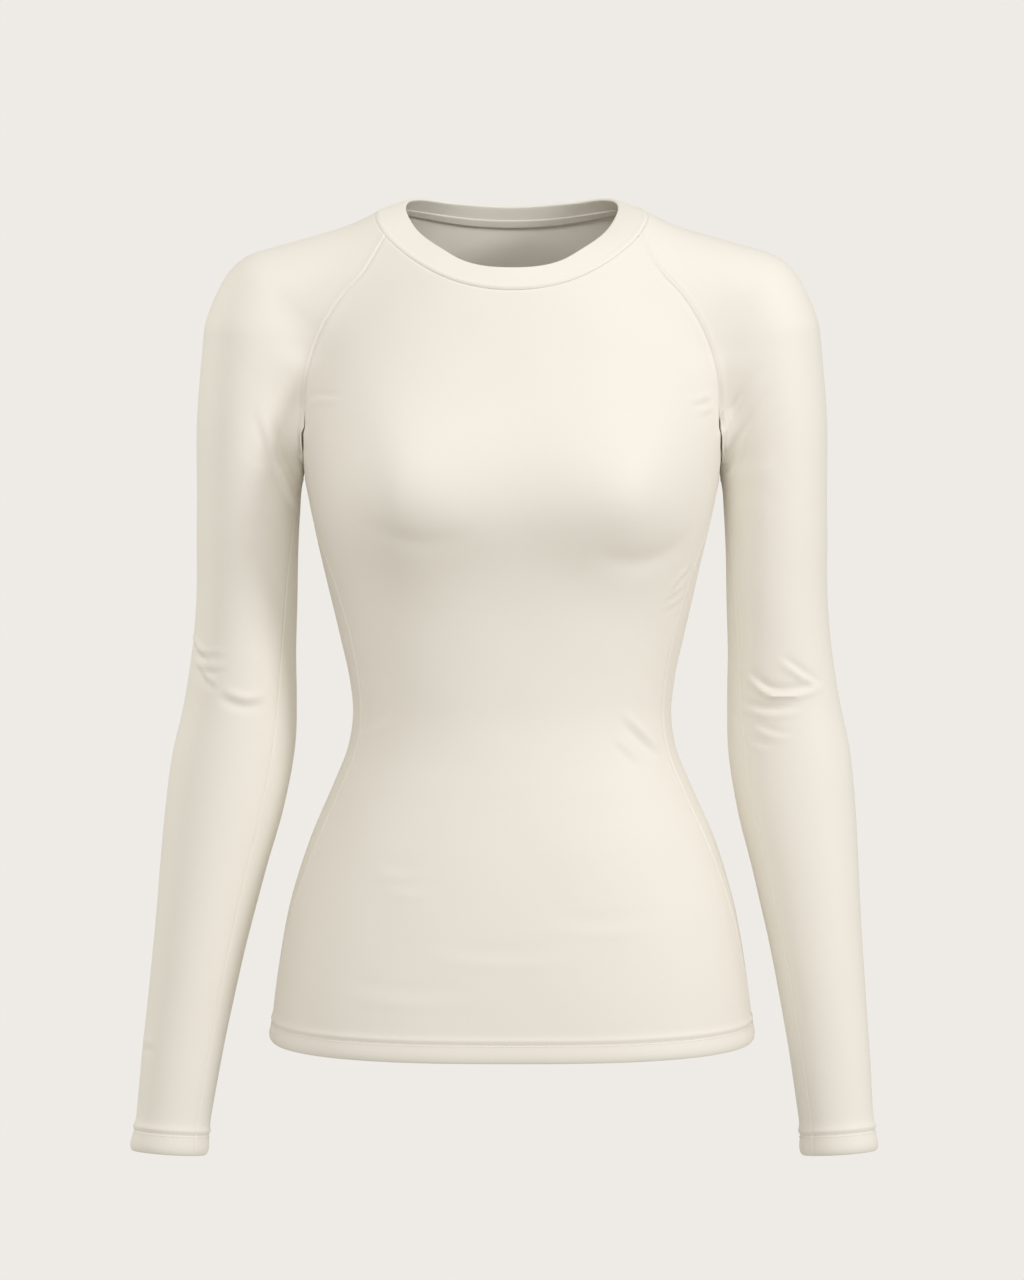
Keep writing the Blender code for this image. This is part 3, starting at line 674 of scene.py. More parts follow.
def knit_group():
    """Rows of V-shaped loops: a plain knit, from a map in metres across and up the cloth, with painted shade
    in its tone between the loops.
    """
    group = bpy.data.node_groups.new("fine_knit", "ShaderNodeTree")
    group.interface.new_socket("Map", in_out="INPUT", socket_type="NodeSocketVector")
    for name, size in (("Wale", 0.75 * MM), ("Course", 0.55 * MM)):
        group.interface.new_socket(name, in_out="INPUT", socket_type="NodeSocketFloat").default_value = size
    for name in ("Height", "Yarn and shade"):
        group.interface.new_socket(name, in_out="OUTPUT", socket_type="NodeSocketFloat")
    given = group.nodes.new("NodeGroupInput")
    split = group.nodes.new("ShaderNodeSeparateXYZ")
    group.links.new(given.outputs["Map"], split.inputs[0])
    across = calculate(group, "DIVIDE", split.outputs["X"], given.outputs["Wale"])
    up = calculate(group, "DIVIDE", split.outputs["Y"], given.outputs["Course"])
    place = calculate(group, "SUBTRACT", calculate(group, "FRACT", across), 0.5)
    slant = calculate(group, "ABSOLUTE", place)
    rib = calculate(group, "COSINE", calculate(group, "MULTIPLY", slant, math.pi))
    leg = calculate(group, "ADD", up, calculate(group, "MULTIPLY", slant, 1.2))
    loop = calculate(group, "SINE", calculate(group, "MULTIPLY", leg, 2.0 * math.pi))
    bulge = calculate(group, "ADD", calculate(group, "MULTIPLY", loop, 0.3), 0.7)
    height = calculate(group, "MULTIPLY", rib, bulge)
    fibres = noise_on(group, given.outputs["Map"], 900.0)
    # The tone is fibre noise plus the loops' height: partly the knit's own colour, partly painted shade,
    # darker between the loops.
    yarn_and_shade = calculate(group, "ADD", calculate(group, "MULTIPLY", fibres, 0.5),
                     calculate(group, "MULTIPLY", height, 0.5))
    result = group.nodes.new("NodeGroupOutput")
    group.links.new(height, result.inputs["Height"])
    group.links.new(yarn_and_shade, result.inputs["Yarn and shade"])
    return group


FINE_KNIT = knit_group()


def new_material(name):
    """A material, its node tree and its shader."""
    made = bpy.data.materials.new(name)
    made.use_nodes = True
    return made, made.node_tree, made.node_tree.nodes["Principled BSDF"]


def on_the_cut(tree):
    """The place on the flat cut, in metres."""
    flat = tree.nodes.new("ShaderNodeUVMap")
    flat.uv_map = "cut"
    return flat.outputs["UV"]


def two_tone(tree, shader, tone, dark, light):
    """Colours a shader between two colours, by a tone from 0 to 1."""
    colour = tree.nodes.new("ShaderNodeMix")
    colour.data_type = "RGBA"
    colour.inputs["A"].default_value = (*dark, 1.0)
    colour.inputs["B"].default_value = (*light, 1.0)
    tree.links.new(tone, colour.inputs["Factor"])
    tree.links.new(colour.outputs["Result"], shader.inputs["Base Color"])


def woven_relief(tree, shader, height, strength, distance):
    """Gives a shader the fine relief of its threads."""
    bump = tree.nodes.new("ShaderNodeBump")
    bump.inputs["Strength"].default_value = strength
    bump.inputs["Distance"].default_value = distance
    tree.links.new(height, bump.inputs["Height"])
    tree.links.new(bump.outputs["Normal"], shader.inputs["Normal"])


def knit_material(name, dark, light, roughness, relief):
    """Knitted cloth: its yarns' colour with painted shade between the loops, a slow drift of tone, and the
    loops' relief.
    """
    made, tree, shader = new_material(name)
    place = on_the_cut(tree)
    knit = tree.nodes.new("ShaderNodeGroup")
    knit.node_tree = FINE_KNIT
    tree.links.new(place, knit.inputs["Map"])
    drift = noise_on(tree, place, 14.0, 3.0)
    # Tone: fibre noise with painted shade between the loops, and a slow drift.
    tone = calculate(tree, "ADD", calculate(tree, "MULTIPLY", knit.outputs["Yarn and shade"], 0.7),
                     calculate(tree, "MULTIPLY", drift, 0.3))
    two_tone(tree, shader, tone, dark, light)
    rough = calculate(tree, "ADD", calculate(tree, "MULTIPLY", drift, 0.08), roughness - 0.04)
    tree.links.new(rough, shader.inputs["Roughness"])
    woven_relief(tree, shader, knit.outputs["Height"], relief, 0.10 * MM)
    shader.inputs["Sheen Weight"].default_value = 0.12
    shader.inputs["Sheen Roughness"].default_value = 0.45
    shader.inputs["Sheen Tint"].default_value = (1.0, 0.97, 0.92, 1.0)
    shader.inputs["Specular IOR Level"].default_value = 0.35
    return made


BODY_KNIT = knit_material("body_knit", (0.83, 0.79, 0.705), (0.90, 0.873, 0.805), 0.60, 0.35)

FRONT_CREASES = (
    # Short pulls from the armpits across the top of the chest.
    Crease("front", ((139.0, -140.5), (129.5, -143.0), (119.0, -145.5)), 2.2, 0.55, 0.45),
    Crease("front", ((139.5, -149.0), (133.5, -151.0), (126.0, -153.5)), 2.0, 0.45, 0.35),
    Crease("front", ((-141.0, -145.5), (-129.5, -144.0), (-116.0, -145.0)), 2.6, 0.60, 0.60),
    # The hollows under the bust, deeper on the left.
    Crease("front", ((122.0, -240.0), (90.0, -254.0), (52.0, -249.0)), 15.0, -1.40, 0.00),
    Crease("front", ((-108.0, -224.0), (-66.0, -240.0), (-18.0, -234.0)), 15.0, -0.70, 0.00),
    # Under the bust, beside the left side seam.
    Crease("front", ((124.0, -257.0), (115.0, -266.5), (106.0, -276.0)), 2.6, 0.55, 0.55),
    Crease("front", ((122.0, -267.5), (113.5, -275.0), (102.0, -281.0)), 2.4, 0.50, 0.45),
    Crease("front", ((119.0, -277.5), (112.0, -283.0), (101.0, -287.0)), 2.4, 0.35, 0.30),
    # Diagonal drag at the waist.
    Crease("front", ((103.0, -386.0), (89.5, -372.0), (75.5, -356.5)), 3.6, 1.00, 0.90),
    Crease("front", ((90.0, -393.0), (80.0, -383.0), (69.0, -372.5)), 3.4, 0.45, 0.35),
    Crease("front", ((-104.0, -378.0), (-92.0, -370.0), (-80.0, -360.0)), 4.0, 0.30, 0.25),
    # Faint cross ripples on the belly and above the hem.
    Crease("front", ((-95.0, -466.0), (-75.0, -468.5), (-58.0, -467.0)), 5.0, 0.22, 0.20),
    Crease("front", ((-88.0, -478.0), (-70.0, -480.0), (-48.0, -479.0)), 5.0, 0.18, 0.16),
    Crease("front", ((20.0, -500.0), (60.0, -505.0), (105.0, -502.0)), 6.0, 0.22, 0.20),
    Crease("front", ((-60.0, -520.0), (-10.0, -525.0), (45.0, -523.0)), 6.0, 0.20, 0.18),
    Crease("front", ((-120.0, -548.0), (-70.0, -552.0), (-20.0, -550.0)), 6.5, 0.22, 0.20),
)

front, front_out = panel_surface("front")

# The turned-in cloth beside a seam shows as a slight swell. Away from seams, cloth wavers.
ALLOWANCE_PLACE = 3.2 * MM
ALLOWANCE_WIDTH = 2.0 * MM
ALLOWANCE_RISE = 0.18 * MM
HELD_BY_SEAM = 10.0 * MM
HELD_BY_BAND = 14.0 * MM


def panel_relief(points, creases):
    """The step and thickness of a body panel's cloth at each point of its grid."""
    sides = np.minimum(away_from(points, points[:, 0]), away_from(points, points[:, -1]))
    neck = away_from(points, points[-1])
    step, thickness = hem_relief(points[..., 2] - HEM_HEIGHT, HEM_PROFILE)
    soft = ease(sides, 0.0, HELD_BY_SEAM) * ease(neck, 0.0, HELD_BY_BAND)
    step = step + unevenness(points) * soft + pressed(points, creases)
    step = step + groove(sides, *SEAM_GROOVE) + groove(neck, *NECK_GROOVE)
    allowance = np.exp(-((sides - ALLOWANCE_PLACE) / ALLOWANCE_WIDTH) ** 2)
    step = step + ALLOWANCE_RISE * allowance
    return step, thickness


front_step, front_thickness = panel_relief(front, FRONT_CREASES)
front_face = front + front_out * front_step[..., None]
front_panel = cloth_shell("front_cloth", front_face, -front_out * front_thickness[..., None], cut_map(front),
                          BODY_KNIT)
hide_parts("front_panel")
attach(front_panel, "root")


# ------------------------------------------------------------------------------------------
# Back panel. The front's opposite: the same knit, cut higher at the neck, with no shaping but
# its seams. It takes soft folds at the small of the back and pulls from the armpits.
BACK_CREASES = (
    Crease("back", ((139.0, -140.0), (127.0, -146.0), (114.0, -150.0)), 3.0, 0.80, 0.72),
    Crease("back", ((-140.0, -147.0), (-126.0, -150.0), (-110.0, -156.0)), 3.2, 0.88, 0.72),
    Crease("back", ((-138.0, -160.0), (-124.0, -166.0), (-112.0, -168.0)), 3.0, 0.56, 0.48),
    Crease("back", ((-98.0, -352.0), (-55.0, -361.0), (-8.0, -358.0)), 5.0, 1.28, 1.28),
    Crease("back", ((100.0, -346.0), (62.0, -356.0), (24.0, -353.0)), 4.6, 1.20, 1.12),
    Crease("back", ((-86.0, -377.0), (-40.0, -386.0), (16.0, -380.0)), 5.5, 1.12, 1.20),
    Crease("back", ((92.0, -372.0), (66.0, -379.0), (35.0, -377.0)), 4.2, 0.80, 0.80),
    Crease("back", ((-60.0, -334.0), (-22.0, -341.0), (20.0, -338.0)), 5.0, 0.64, 0.64),
    Crease("back", ((108.0, -398.0), (84.0, -404.0), (58.0, -403.0)), 5.0, 0.64, 0.56),
    Crease("back", ((-112.0, -402.0), (-84.0, -411.0), (-50.0, -410.0)), 5.2, 0.72, 0.64),
    Crease("back", ((-70.0, -520.0), (-10.0, -526.0), (60.0, -522.0)), 7.0, 0.48, 0.40),
    Crease("back", ((30.0, -548.0), (75.0, -552.0), (118.0, -549.0)), 6.0, 0.40, 0.32),
)

back, back_out = panel_surface("back")
back_step, back_thickness = panel_relief(back, BACK_CREASES)
back_face = back + back_out * back_step[..., None]
back_panel = cloth_shell("back_cloth", back_face, -back_out * back_thickness[..., None], cut_map(back),
                         BODY_KNIT)
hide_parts("back_panel")
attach(back_panel, "root")

# ------------------------------------------------------------------------------------------
# Sleeves. Each is one piece from cuff to neck: a raglan cap over the shoulder, and a tube closed
# by a seam that runs from the armpit down the inside of the arm, a little to the front.
SWING = {"left": -0.0055, "right": 0.0055}
CUFF_TILT_OUT = 0.07
CUFF_TILT_BACK = -0.14
LEVEL_WRIST_HEIGHT = -0.560
SLEEVE_COLUMNS = 100
SLEEVE_STEP = 2.1 * MM
CUFF_ROWS = np.array([0.0, 0.12, 0.45, 1.1, 2.5, 5.0, 8.0, 11.0, 12.6, 13.4, 13.9, 14.4, 15.0, 15.8,
                      16.6, 17.5, 18.6, 20.0, 22.0, 24.5]) * MM
CUFF_PROFILE = (
    HemStep(0.0, -0.90, 0.15),
    HemStep(0.12, -0.10, 1.20),
    HemStep(0.45, 0.45, 2.00),
    HemStep(1.1, 0.90, 2.40),
    HemStep(11.0, 1.10, 2.40),
    HemStep(13.2, 0.85, 2.20),
    HemStep(14.2, 0.40, 1.90),
    HemStep(15.2, 0.80, 2.10),
    HemStep(17.0, 1.50, 2.30),
    HemStep(19.0, 0.80, 1.70),
    HemStep(21.5, 0.20, 1.30),
    HemStep(24.5, 0.00, 1.20),
)
UnderSeam = namedtuple("UnderSeam", "height forward")
UNDER_SEAM = {
    "left": (
        UnderSeam(-0.660, 42.0),
        UnderSeam(-0.560, 44.0),
        UnderSeam(-0.430, 42.0),
        UnderSeam(-0.330, 38.0),
        UnderSeam(-0.250, 30.0),
        UnderSeam(-0.190, 0.0),
    ),
    "right": (
        UnderSeam(-0.660, 42.0),
        UnderSeam(-0.560, 46.0),
        UnderSeam(-0.430, 48.0),
        UnderSeam(-0.330, 44.0),
        UnderSeam(-0.250, 34.0),
        UnderSeam(-0.190, 0.0),
    ),
}

MIDDLE_HEIGHT = -0.260
CLIMB_START = 0.2
ARM_REACH = 1.2
# The cloth under the arm is evened out, in rows from the armpit and columns from the seams.
EVENING_ROUNDS = 14
EVENED_BELOW = (-16, -8)
EVENED_ABOVE = (20, 30)
EVENED_INWARD = (18, 28)


def evened(grid, share):
    """A grid whose points are drawn to the middle of their neighbours, each by its share."""
    for _ in range(EVENING_ROUNDS):
        middle = (grid[:-2, 1:-1] + grid[2:, 1:-1] + grid[1:-1, :-2] + grid[1:-1, 2:]) / 4
        grid[1:-1, 1:-1] += share[1:-1, 1:-1, None] * (middle - grid[1:-1, 1:-1])
    return grid


def sleeve_surface(side):
    """A sleeve: rows of points from cuff to neck, with their outward directions.

    Both sleeves are laid out on the wearer's left.
    """
    swing = SWING[side]
    above_cuff = spaced(CUFF_HEIGHT + CUFF_ROWS[-1], ARMPIT_HEIGHT, SLEEVE_STEP)
    rings = np.array(list(CUFF_HEIGHT + CUFF_ROWS[:-1]) + above_cuff)
    out, back_middle = arm_middle(rings, swing)
    back_middle = back_middle * ease(rings, ARMPIT_HEIGHT, MIDDLE_HEIGHT)
    forward = np.radians(read(UNDER_SEAM[side], "forward", rings))
    level = ease(rings, ELBOW_HEIGHT, LEVEL_WRIST_HEIGHT)
    front_edge, front_turns, _ = armhole("front")
    back_edge, back_turns, _ = armhole("back")
    count = max(len(front_edge), len(back_edge))

    def matched(values):
        """The edge's rows, evened out to the same count on both sides."""
        close = len(values) - len(NEAR_SEAM)
        between = np.linspace(FOLD_ROWS, close, count - FOLD_ROWS - len(NEAR_SEAM) + 1)
        places = np.concatenate([np.arange(FOLD_ROWS), between, np.arange(close + 1, len(values))])
        if values.ndim == 1:
            return np.interp(places, np.arange(len(values)), values)
        rows = np.arange(len(values))
        return np.stack([np.interp(places, rows, column) for column in values.T], axis=1)

    edges = [matched(front_edge), matched(back_edge)]
    turns = [matched(front_turns), matched(back_turns)]

    def frame_at(turn):
        """The cap line's centre at a turn, and the way out from it."""
        radial = np.stack([np.cos(turn), 0.0 * turn, np.sin(turn)], axis=-1)
        reach = CAP_REACH[0] + (CAP_REACH[1] - CAP_REACH[0]) * turn / math.radians(90)
        return np.array([CAP_LINE[0], 0.0, CAP_LINE[1]]) + radial * reach[..., None], radial

    ends, reaches = [], []
    for edge, turn, facing in zip(edges, turns, (-1.0, 1.0)):
        centre, radial = frame_at(turn)
        step = edge - centre
        reaches.append(np.linalg.norm(step, axis=1))
        ends.append(facing * np.arctan2(np.abs(step[:, 1]), np.sum(step * radial, axis=1)))

    neck = neck_line(np.linspace(NECK_CORNER["front"], NECK_CORNER["back"], 61))
    neck_turns = np.arctan2(neck[:, 2] - CAP_LINE[1], neck[:, 0] - CAP_LINE[0])
    centre, radial = frame_at(neck_turns)
    neck_swept = np.arctan2(neck[:, 1], np.sum((neck - centre) * radial, axis=1))
    neck_share = (neck_swept - neck_swept[0]) / (neck_swept[-1] - neck_swept[0])
    dip = neck_turns - neck_turns[0] - (neck_turns[-1] - neck_turns[0]) * neck_share
    climb = ease(turns[0] / turns[0][-1], CLIMB_START, 1.0)

    def rays(share):
        """Lines out from the arm's middle and the cap line, at shares of the way round."""
        angle = -math.pi + 2.0 * math.pi * share[:len(rings)] + forward[:, None]
        tilt = level[:, None] * (CUFF_TILT_OUT * np.cos(angle) + CUFF_TILT_BACK * np.sin(angle))
        ring_start = np.stack([out, back_middle, rings], axis=1)[:, None] + 0.0 * angle[..., None]
        ring_way = np.stack([np.cos(angle), np.sin(angle), tilt], axis=-1)
        cap_share = share[len(rings):]
        turn = turns[0][:, None] + (turns[1] - turns[0])[:, None] * cap_share
        turn = turn + climb[:, None] * np.interp(cap_share, neck_share, dip)
        centre, radial = frame_at(turn)
        swept = ends[0][:, None] + (ends[1] - ends[0])[:, None] * cap_share
        cap_way = np.cos(swept)[..., None] * radial + np.sin(swept)[..., None] * (0.0, 1.0, 0.0)
        arm_reach = read(ARM, "half_depth", rings)[:, None] * ARM_REACH
        ring_reach = np.repeat(arm_reach, share.shape[1], axis=1)
        cap_reach = reaches[0][:, None] + (reaches[1] - reaches[0])[:, None] * cap_share
        return (np.concatenate([ring_start, centre]), np.concatenate([ring_way, cap_way]),
                np.concatenate([ring_reach, cap_reach]))

    def spread(length):
        """Places along a row, even but for those close beside its two seams."""
        inner = np.linspace(NEAR_SEAM[-1], length - NEAR_SEAM[-1], SLEEVE_COLUMNS + 1)
        return np.concatenate([NEAR_SEAM[:-1], inner, length - NEAR_SEAM[-2::-1]])

    walled = np.concatenate([rings > WALL_HEIGHT, np.arange(count) < FOLD_ROWS])
    wall = FOLD_OUT + FOLD_CLEARANCE / 2
    points, normals = lay(rays, len(walled), spread, swing, wall, -1.0, walled)
    laid = points[len(rings):]
    capped = drawn_to(laid, 0, armhole_side(edges[0], 1.0))
    capped = drawn_to(capped, -1, armhole_side(edges[1], 1.0))
    moved = np.linalg.norm(capped - laid, axis=-1) > HARDLY
    moved[:, [0, -1]] = False
    resting = settle(capped[moved], swing)
    resting[:, 0] = np.maximum(resting[:, 0], wall)
    capped[moved] = resting
    normals[len(rings):][moved] = outward(resting, swing)
    points[len(rings):] = capped
    above = np.arange(len(points)) - len(rings)
    inward = np.minimum(np.arange(points.shape[1]), np.arange(points.shape[1])[::-1])
    by_row = ease(above, *EVENED_BELOW) * (1.0 - ease(above, *EVENED_ABOVE))
    share = by_row[:, None] * (1.0 - ease(inward, *EVENED_INWARD))
    return evened(points, share), unit(evened(normals, share)), len(rings)


SLEEVE_CREASES = {
    "left": (
        # Long diagonal folds that hang from the shoulder into the armpit.
        Crease("front", ((148.0, -166.0), (162.0, -142.0), (178.0, -120.0)), 3.2, 0.90, 0.80),
        Crease("front", ((150.0, -200.0), (165.0, -165.0), (185.0, -138.0)), 3.6, 0.80, 0.80),
        Crease("front", ((152.4, -180.0), (152.4, -161.0), (151.0, -142.0)), 2.4, 0.90, 0.70),
        # The inside of the elbow.
        Crease("front", ((184.0, -324.0), (200.0, -335.5), (217.0, -346.0)), 2.6, 1.20, 1.00),
        Crease("front", ((162.0, -335.0), (178.0, -348.0), (197.0, -349.0), (217.0, -345.0)),
               3.0, 1.70, 1.30),
        Crease("front", ((160.0, -359.0), (180.0, -363.0), (204.0, -360.0)), 3.0, 0.70, 1.00),
        Crease("front", ((167.0, -372.0), (181.0, -377.5), (196.0, -379.5)), 2.6, 0.60, 0.50),
        Crease("front", ((164.0, -383.0), (173.0, -386.5), (182.0, -388.0)), 2.4, 0.35, 0.35),
        # Softer folds behind the armpit and the elbow.
        Crease("back", ((152.0, -196.0), (164.0, -172.0), (181.0, -150.0)), 4.0, 0.80, 0.70),
        Crease("back", ((180.0, -331.0), (197.0, -341.0), (216.0, -338.0)), 3.8, 0.80, 0.75),
        Crease("back", ((176.0, -356.0), (194.0, -364.0), (209.0, -362.0)), 4.4, 0.65, 0.60),
        Crease("back", ((190.0, -381.0), (203.0, -386.0), (219.0, -384.0)), 3.6, 0.40, 0.35),
    ),
    "right": (
        Crease("front", ((160.0, -155.0), (154.5, -174.5), (147.5, -198.0)), 3.0, 0.80, 0.80),
        Crease("front", ((175.0, -148.0), (161.5, -188.5), (147.5, -229.0)), 3.4, 0.80, 0.80),
        Crease("front", ((219.0, -328.0), (212.0, -337.0), (204.0, -341.5)), 2.4, 0.90, 1.00),
        Crease("front", ((224.0, -317.0), (214.0, -319.0), (198.0, -317.5)), 2.6, 0.60, 0.50),
        Crease("front", ((222.0, -327.0), (210.5, -329.5), (196.0, -327.5)), 2.4, 0.60, 0.50),
        Crease("front", ((202.0, -344.5), (186.0, -350.5), (170.0, -348.5)), 4.0, 1.00, 0.90),
        Crease("front", ((226.0, -309.0), (214.0, -321.0), (206.0, -332.0)), 2.4, 0.70, 0.60),
        Crease("front", ((257.0, -591.0), (250.0, -589.5), (244.0, -593.0)), 3.0, 0.35, 0.35),
        Crease("back", ((150.0, -204.0), (160.0, -178.0), (174.0, -158.0)), 3.8, 0.75, 0.70),
        Crease("back", ((178.0, -338.0), (195.0, -349.0), (218.0, -350.0)), 4.2, 0.85, 0.80),
        Crease("back", ((192.0, -367.0), (208.0, -372.0), (221.0, -369.0)), 3.6, 0.55, 0.50),
        Crease("back", ((180.0, -322.0), (192.0, -326.0), (206.0, -323.0)), 3.4, 0.40, 0.40),
    ),
}

# The flatlock seam stands up a little as a band on the sleeve's side.
FLATLOCK_INNER = (0.6 * MM, 1.4 * MM)
FLATLOCK_OUTER = (4.8 * MM, 6.0 * MM)
FLATLOCK_RISE = 0.25 * MM

left, left_out, left_rings = sleeve_surface("left")
right, right_out, right_rings = sleeve_surface("right")


def sleeve_relief(points, creases, swing, rings):
    """The step and thickness of a sleeve's cloth at each point of its grid."""
    capped = points[rings:]
    raglan = np.minimum(away_from(points, capped[:, 0]), away_from(points, capped[:, -1]))
    under = away_from(points, points[:rings + 1, 0])
    neck = away_from(points, points[-1])
    outer_line = lengths_along(points[:, points.shape[1] // 2])
    above = np.repeat(outer_line[:, None], points.shape[1], axis=1)
    step, thickness = hem_relief(above, CUFF_PROFILE)
    soft = ease(np.minimum(raglan, under), 0.0, HELD_BY_SEAM) * ease(neck, 0.0, HELD_BY_BAND)
    step = step + unevenness(points) * soft + pressed(points, creases, swing, on_arm=True)
    step = step + groove(raglan, *SEAM_GROOVE) + groove(neck, *NECK_GROOVE) + groove(under, *UNDER_GROOVE)
    band = ease(raglan, *FLATLOCK_INNER) * (1.0 - ease(raglan, *FLATLOCK_OUTER))
    step = step + FLATLOCK_RISE * band
    return step, thickness


def make_sleeve(side, points, normals, rings):
    """Makes one sleeve, and gives its outer face as it lies on the wearer's left."""
    step, thickness = sleeve_relief(points, SLEEVE_CREASES[side], SWING[side], rings)
    face = points + normals * step[..., None]
    piece = cloth_shell(side + "_sleeve_cloth", face, -normals * thickness[..., None], cut_map(points),
                        BODY_KNIT, flip=side == "right")
    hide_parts(side + "_sleeve")
    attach(piece, "root")
    return face


left_face = make_sleeve("left", left, left_out, left_rings)
right_face = make_sleeve("right", right, right_out, right_rings)

# ------------------------------------------------------------------------------------------
# Neckband. A strip of the same knit, folded double along the rim and sewn on by its two raw
# edges, which make a soft ridge beside the seam.
RIM_HALF_WIDTH = 0.0745
RIM_FRONT = 0.0705
RIM_BACK = 0.0530
BAND_CLOTH = 0.0026
BAND_PROUD = 0.0004
BAND_FOOT_GAP = 0.15 * MM
BAND_ROWS = 161
BAND_PROFILE = np.array([0.0, 0.03, 0.07, 0.12, 0.18, 0.25, 0.33, 0.42, 0.52, 0.62, 0.72, 0.82,
                         0.92, 1.0])
BAND_SWELL = 0.35
# The ridge that the raw edges make, the dip above it, and the foot tucked into the seam: how far
# up the band each is, how wide, and how high, in millimetres.
BandStep = namedtuple("BandStep", "up width rise")
BAND_RIDGE = BandStep(2.6, 1.1, 0.30)
BAND_DIP = BandStep(4.6, 0.9, -0.12)
BAND_FOOT = BandStep(0.0, 0.8, -0.90)
BAND_KNIT = knit_material("band_knit", (0.84, 0.80, 0.715), (0.91, 0.883, 0.815), 0.58, 0.30)


def rim_line(turns):
    """The upper edge of the neckband."""
    angles = np.radians(turns)
    depth = np.where(angles > 0.0, -RIM_FRONT, RIM_BACK) * np.abs(np.sin(angles))
    return np.stack([RIM_HALF_WIDTH * np.cos(angles), depth, read(NECK, "rim", turns)], axis=1)


def band_frame():
    """The neckband's foot and crown, and the directions across its cloth at each."""
    half = np.linspace(90.0, -90.0, BAND_ROWS)
    turns = np.concatenate([half, half[-2::-1]])
    sides = np.where(np.arange(len(turns)) < BAND_ROWS, 1.0, -1.0)
    mirror = np.stack([sides, np.ones_like(sides), np.ones_like(sides)], axis=1)
    seam, rim = neck_line(turns), rim_line(turns) * mirror
    foot_across = outward(seam) * mirror
    seam = seam * mirror
    rise = unit(rim - seam)
    along = np.roll(seam[:-1], -1, axis=0) - np.roll(seam[:-1], 1, axis=0)
    crown_across = unit(np.cross(rise, np.vstack([along, along[:1]])))
    crown_across *= np.sign(np.sum(crown_across * foot_across, axis=1))[:, None]
    lift = unit(rise - np.sum(rise * foot_across, axis=1)[:, None] * foot_across)
    foot = seam + lift * BAND_FOOT_GAP + foot_across * BAND_PROUD
    crown = rim + crown_across * BAND_PROUD - rise * BAND_CLOTH / 2
    return turns, foot, crown, foot_across, crown_across, rise


def band_step(up, step):
    """How far a step lifts the band's cloth at distances up the band, in millimetres."""
    return step.rise * np.exp(-((up - step.up) / step.width) ** 2)


def band_surface():
    """The neckband's whole skin: up its outer face, over the rim and down its inner face."""
    _, foot, crown, foot_across, crown_across, rise = band_frame()
    share = BAND_PROFILE[None, :, None]
    width = np.linalg.norm(crown - foot, axis=1)[:, None]
    up = BAND_PROFILE[None, :] * width / MM
    across = unit(foot_across[:, None] * (1.0 - share) + crown_across[:, None] * share)
    middle = foot[:, None] * (1.0 - share) + crown[:, None] * share - across * BAND_CLOTH / 2
    swell = BAND_SWELL * np.sin(math.pi * BAND_PROFILE)[None, :]
    ridge = band_step(up, BAND_RIDGE) + band_step(up, BAND_DIP)
    tucked = band_step(up, BAND_FOOT)
    outer = middle + across * (BAND_CLOTH / 2 + (swell + ridge + tucked) * MM)[..., None]
    inner = middle - across * (BAND_CLOTH / 2 + (0.5 * swell + tucked) * MM)[..., None]
    radius = BAND_CLOTH / 2
    core = crown - crown_across * radius
    bend = np.linspace(0.0, math.pi, 9)[1:-1]
    arc = core[:, None] + radius * (np.cos(bend)[None, :, None] * crown_across[:, None]
                                    + np.sin(bend)[None, :, None] * rise[:, None])
    return np.concatenate([outer, arc, inner[:, ::-1], outer[:, :1]], axis=1)


def strip_map(skin):
    """Each point's place on a strip's skin: round its section, and along it."""
    along = np.repeat(lengths_along(skin[:, 0])[:, None], skin.shape[1], axis=1)
    return np.stack([lengths_along(skin), along], axis=-1)


band = band_surface()
band_cut = strip_map(band)[..., ::-1]
neckband = cloth_shell("neckband_cloth", band, 0.0 * band, band_cut, BAND_KNIT, closed=True)
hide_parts("neckband")
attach(neckband, "root")

# ------------------------------------------------------------------------------------------
# Neck tape. A narrow woven tape that covers the neck seam's raw edges, inside the back of the
# neck, from one raglan seam to the other.
TAPE_TURN = -28.0
TAPE_DEPTH = 6.0 * MM
TAPE_CLOTH = 1.0 * MM
TAPE_GAP = 0.3 * MM
# The tape's section, as shares of its depth and its thickness.
TAPE_LOOP = (
    (0.0, 0.3), (0.08, 0.05), (0.25, 0.0), (0.5, 0.0), (0.75, 0.0), (0.92, 0.05), (1.0, 0.3), (1.0, 0.6),
    (0.93, 0.92), (0.8, 1.0), (0.5, 0.9), (0.2, 1.0), (0.07, 0.92), (0.0, 0.6), (0.0, 0.3),
)


def tape_material():
    """A herringbone tape, a little deeper in colour than the knit, with painted shade in its twill's
    grooves.
    """
    made, tree, shader = new_material("seam_tape")
    split = tree.nodes.new("ShaderNodeSeparateXYZ")
    tree.links.new(on_the_cut(tree), split.inputs[0])
    slant = calculate(tree, "PINGPONG", split.outputs["X"], 1.5 * MM)
    twill = calculate(tree, "ADD", split.outputs["Y"], slant)
    wave = calculate(tree, "SINE", calculate(tree, "MULTIPLY", twill, 2.0 * math.pi / (0.8 * MM)))
    # Lighter on the twill's ridges and darker in its grooves: painted shade that follows the relief.
    tone = calculate(tree, "ADD", calculate(tree, "MULTIPLY", wave, 0.3), 0.5)
    two_tone(tree, shader, tone, (0.80, 0.75, 0.66), (0.90, 0.87, 0.80))
    woven_relief(tree, shader, wave, 0.5, 0.15 * MM)
    shader.inputs["Roughness"].default_value = 0.7
    shader.inputs["Sheen Weight"].default_value = 0.1
    return made


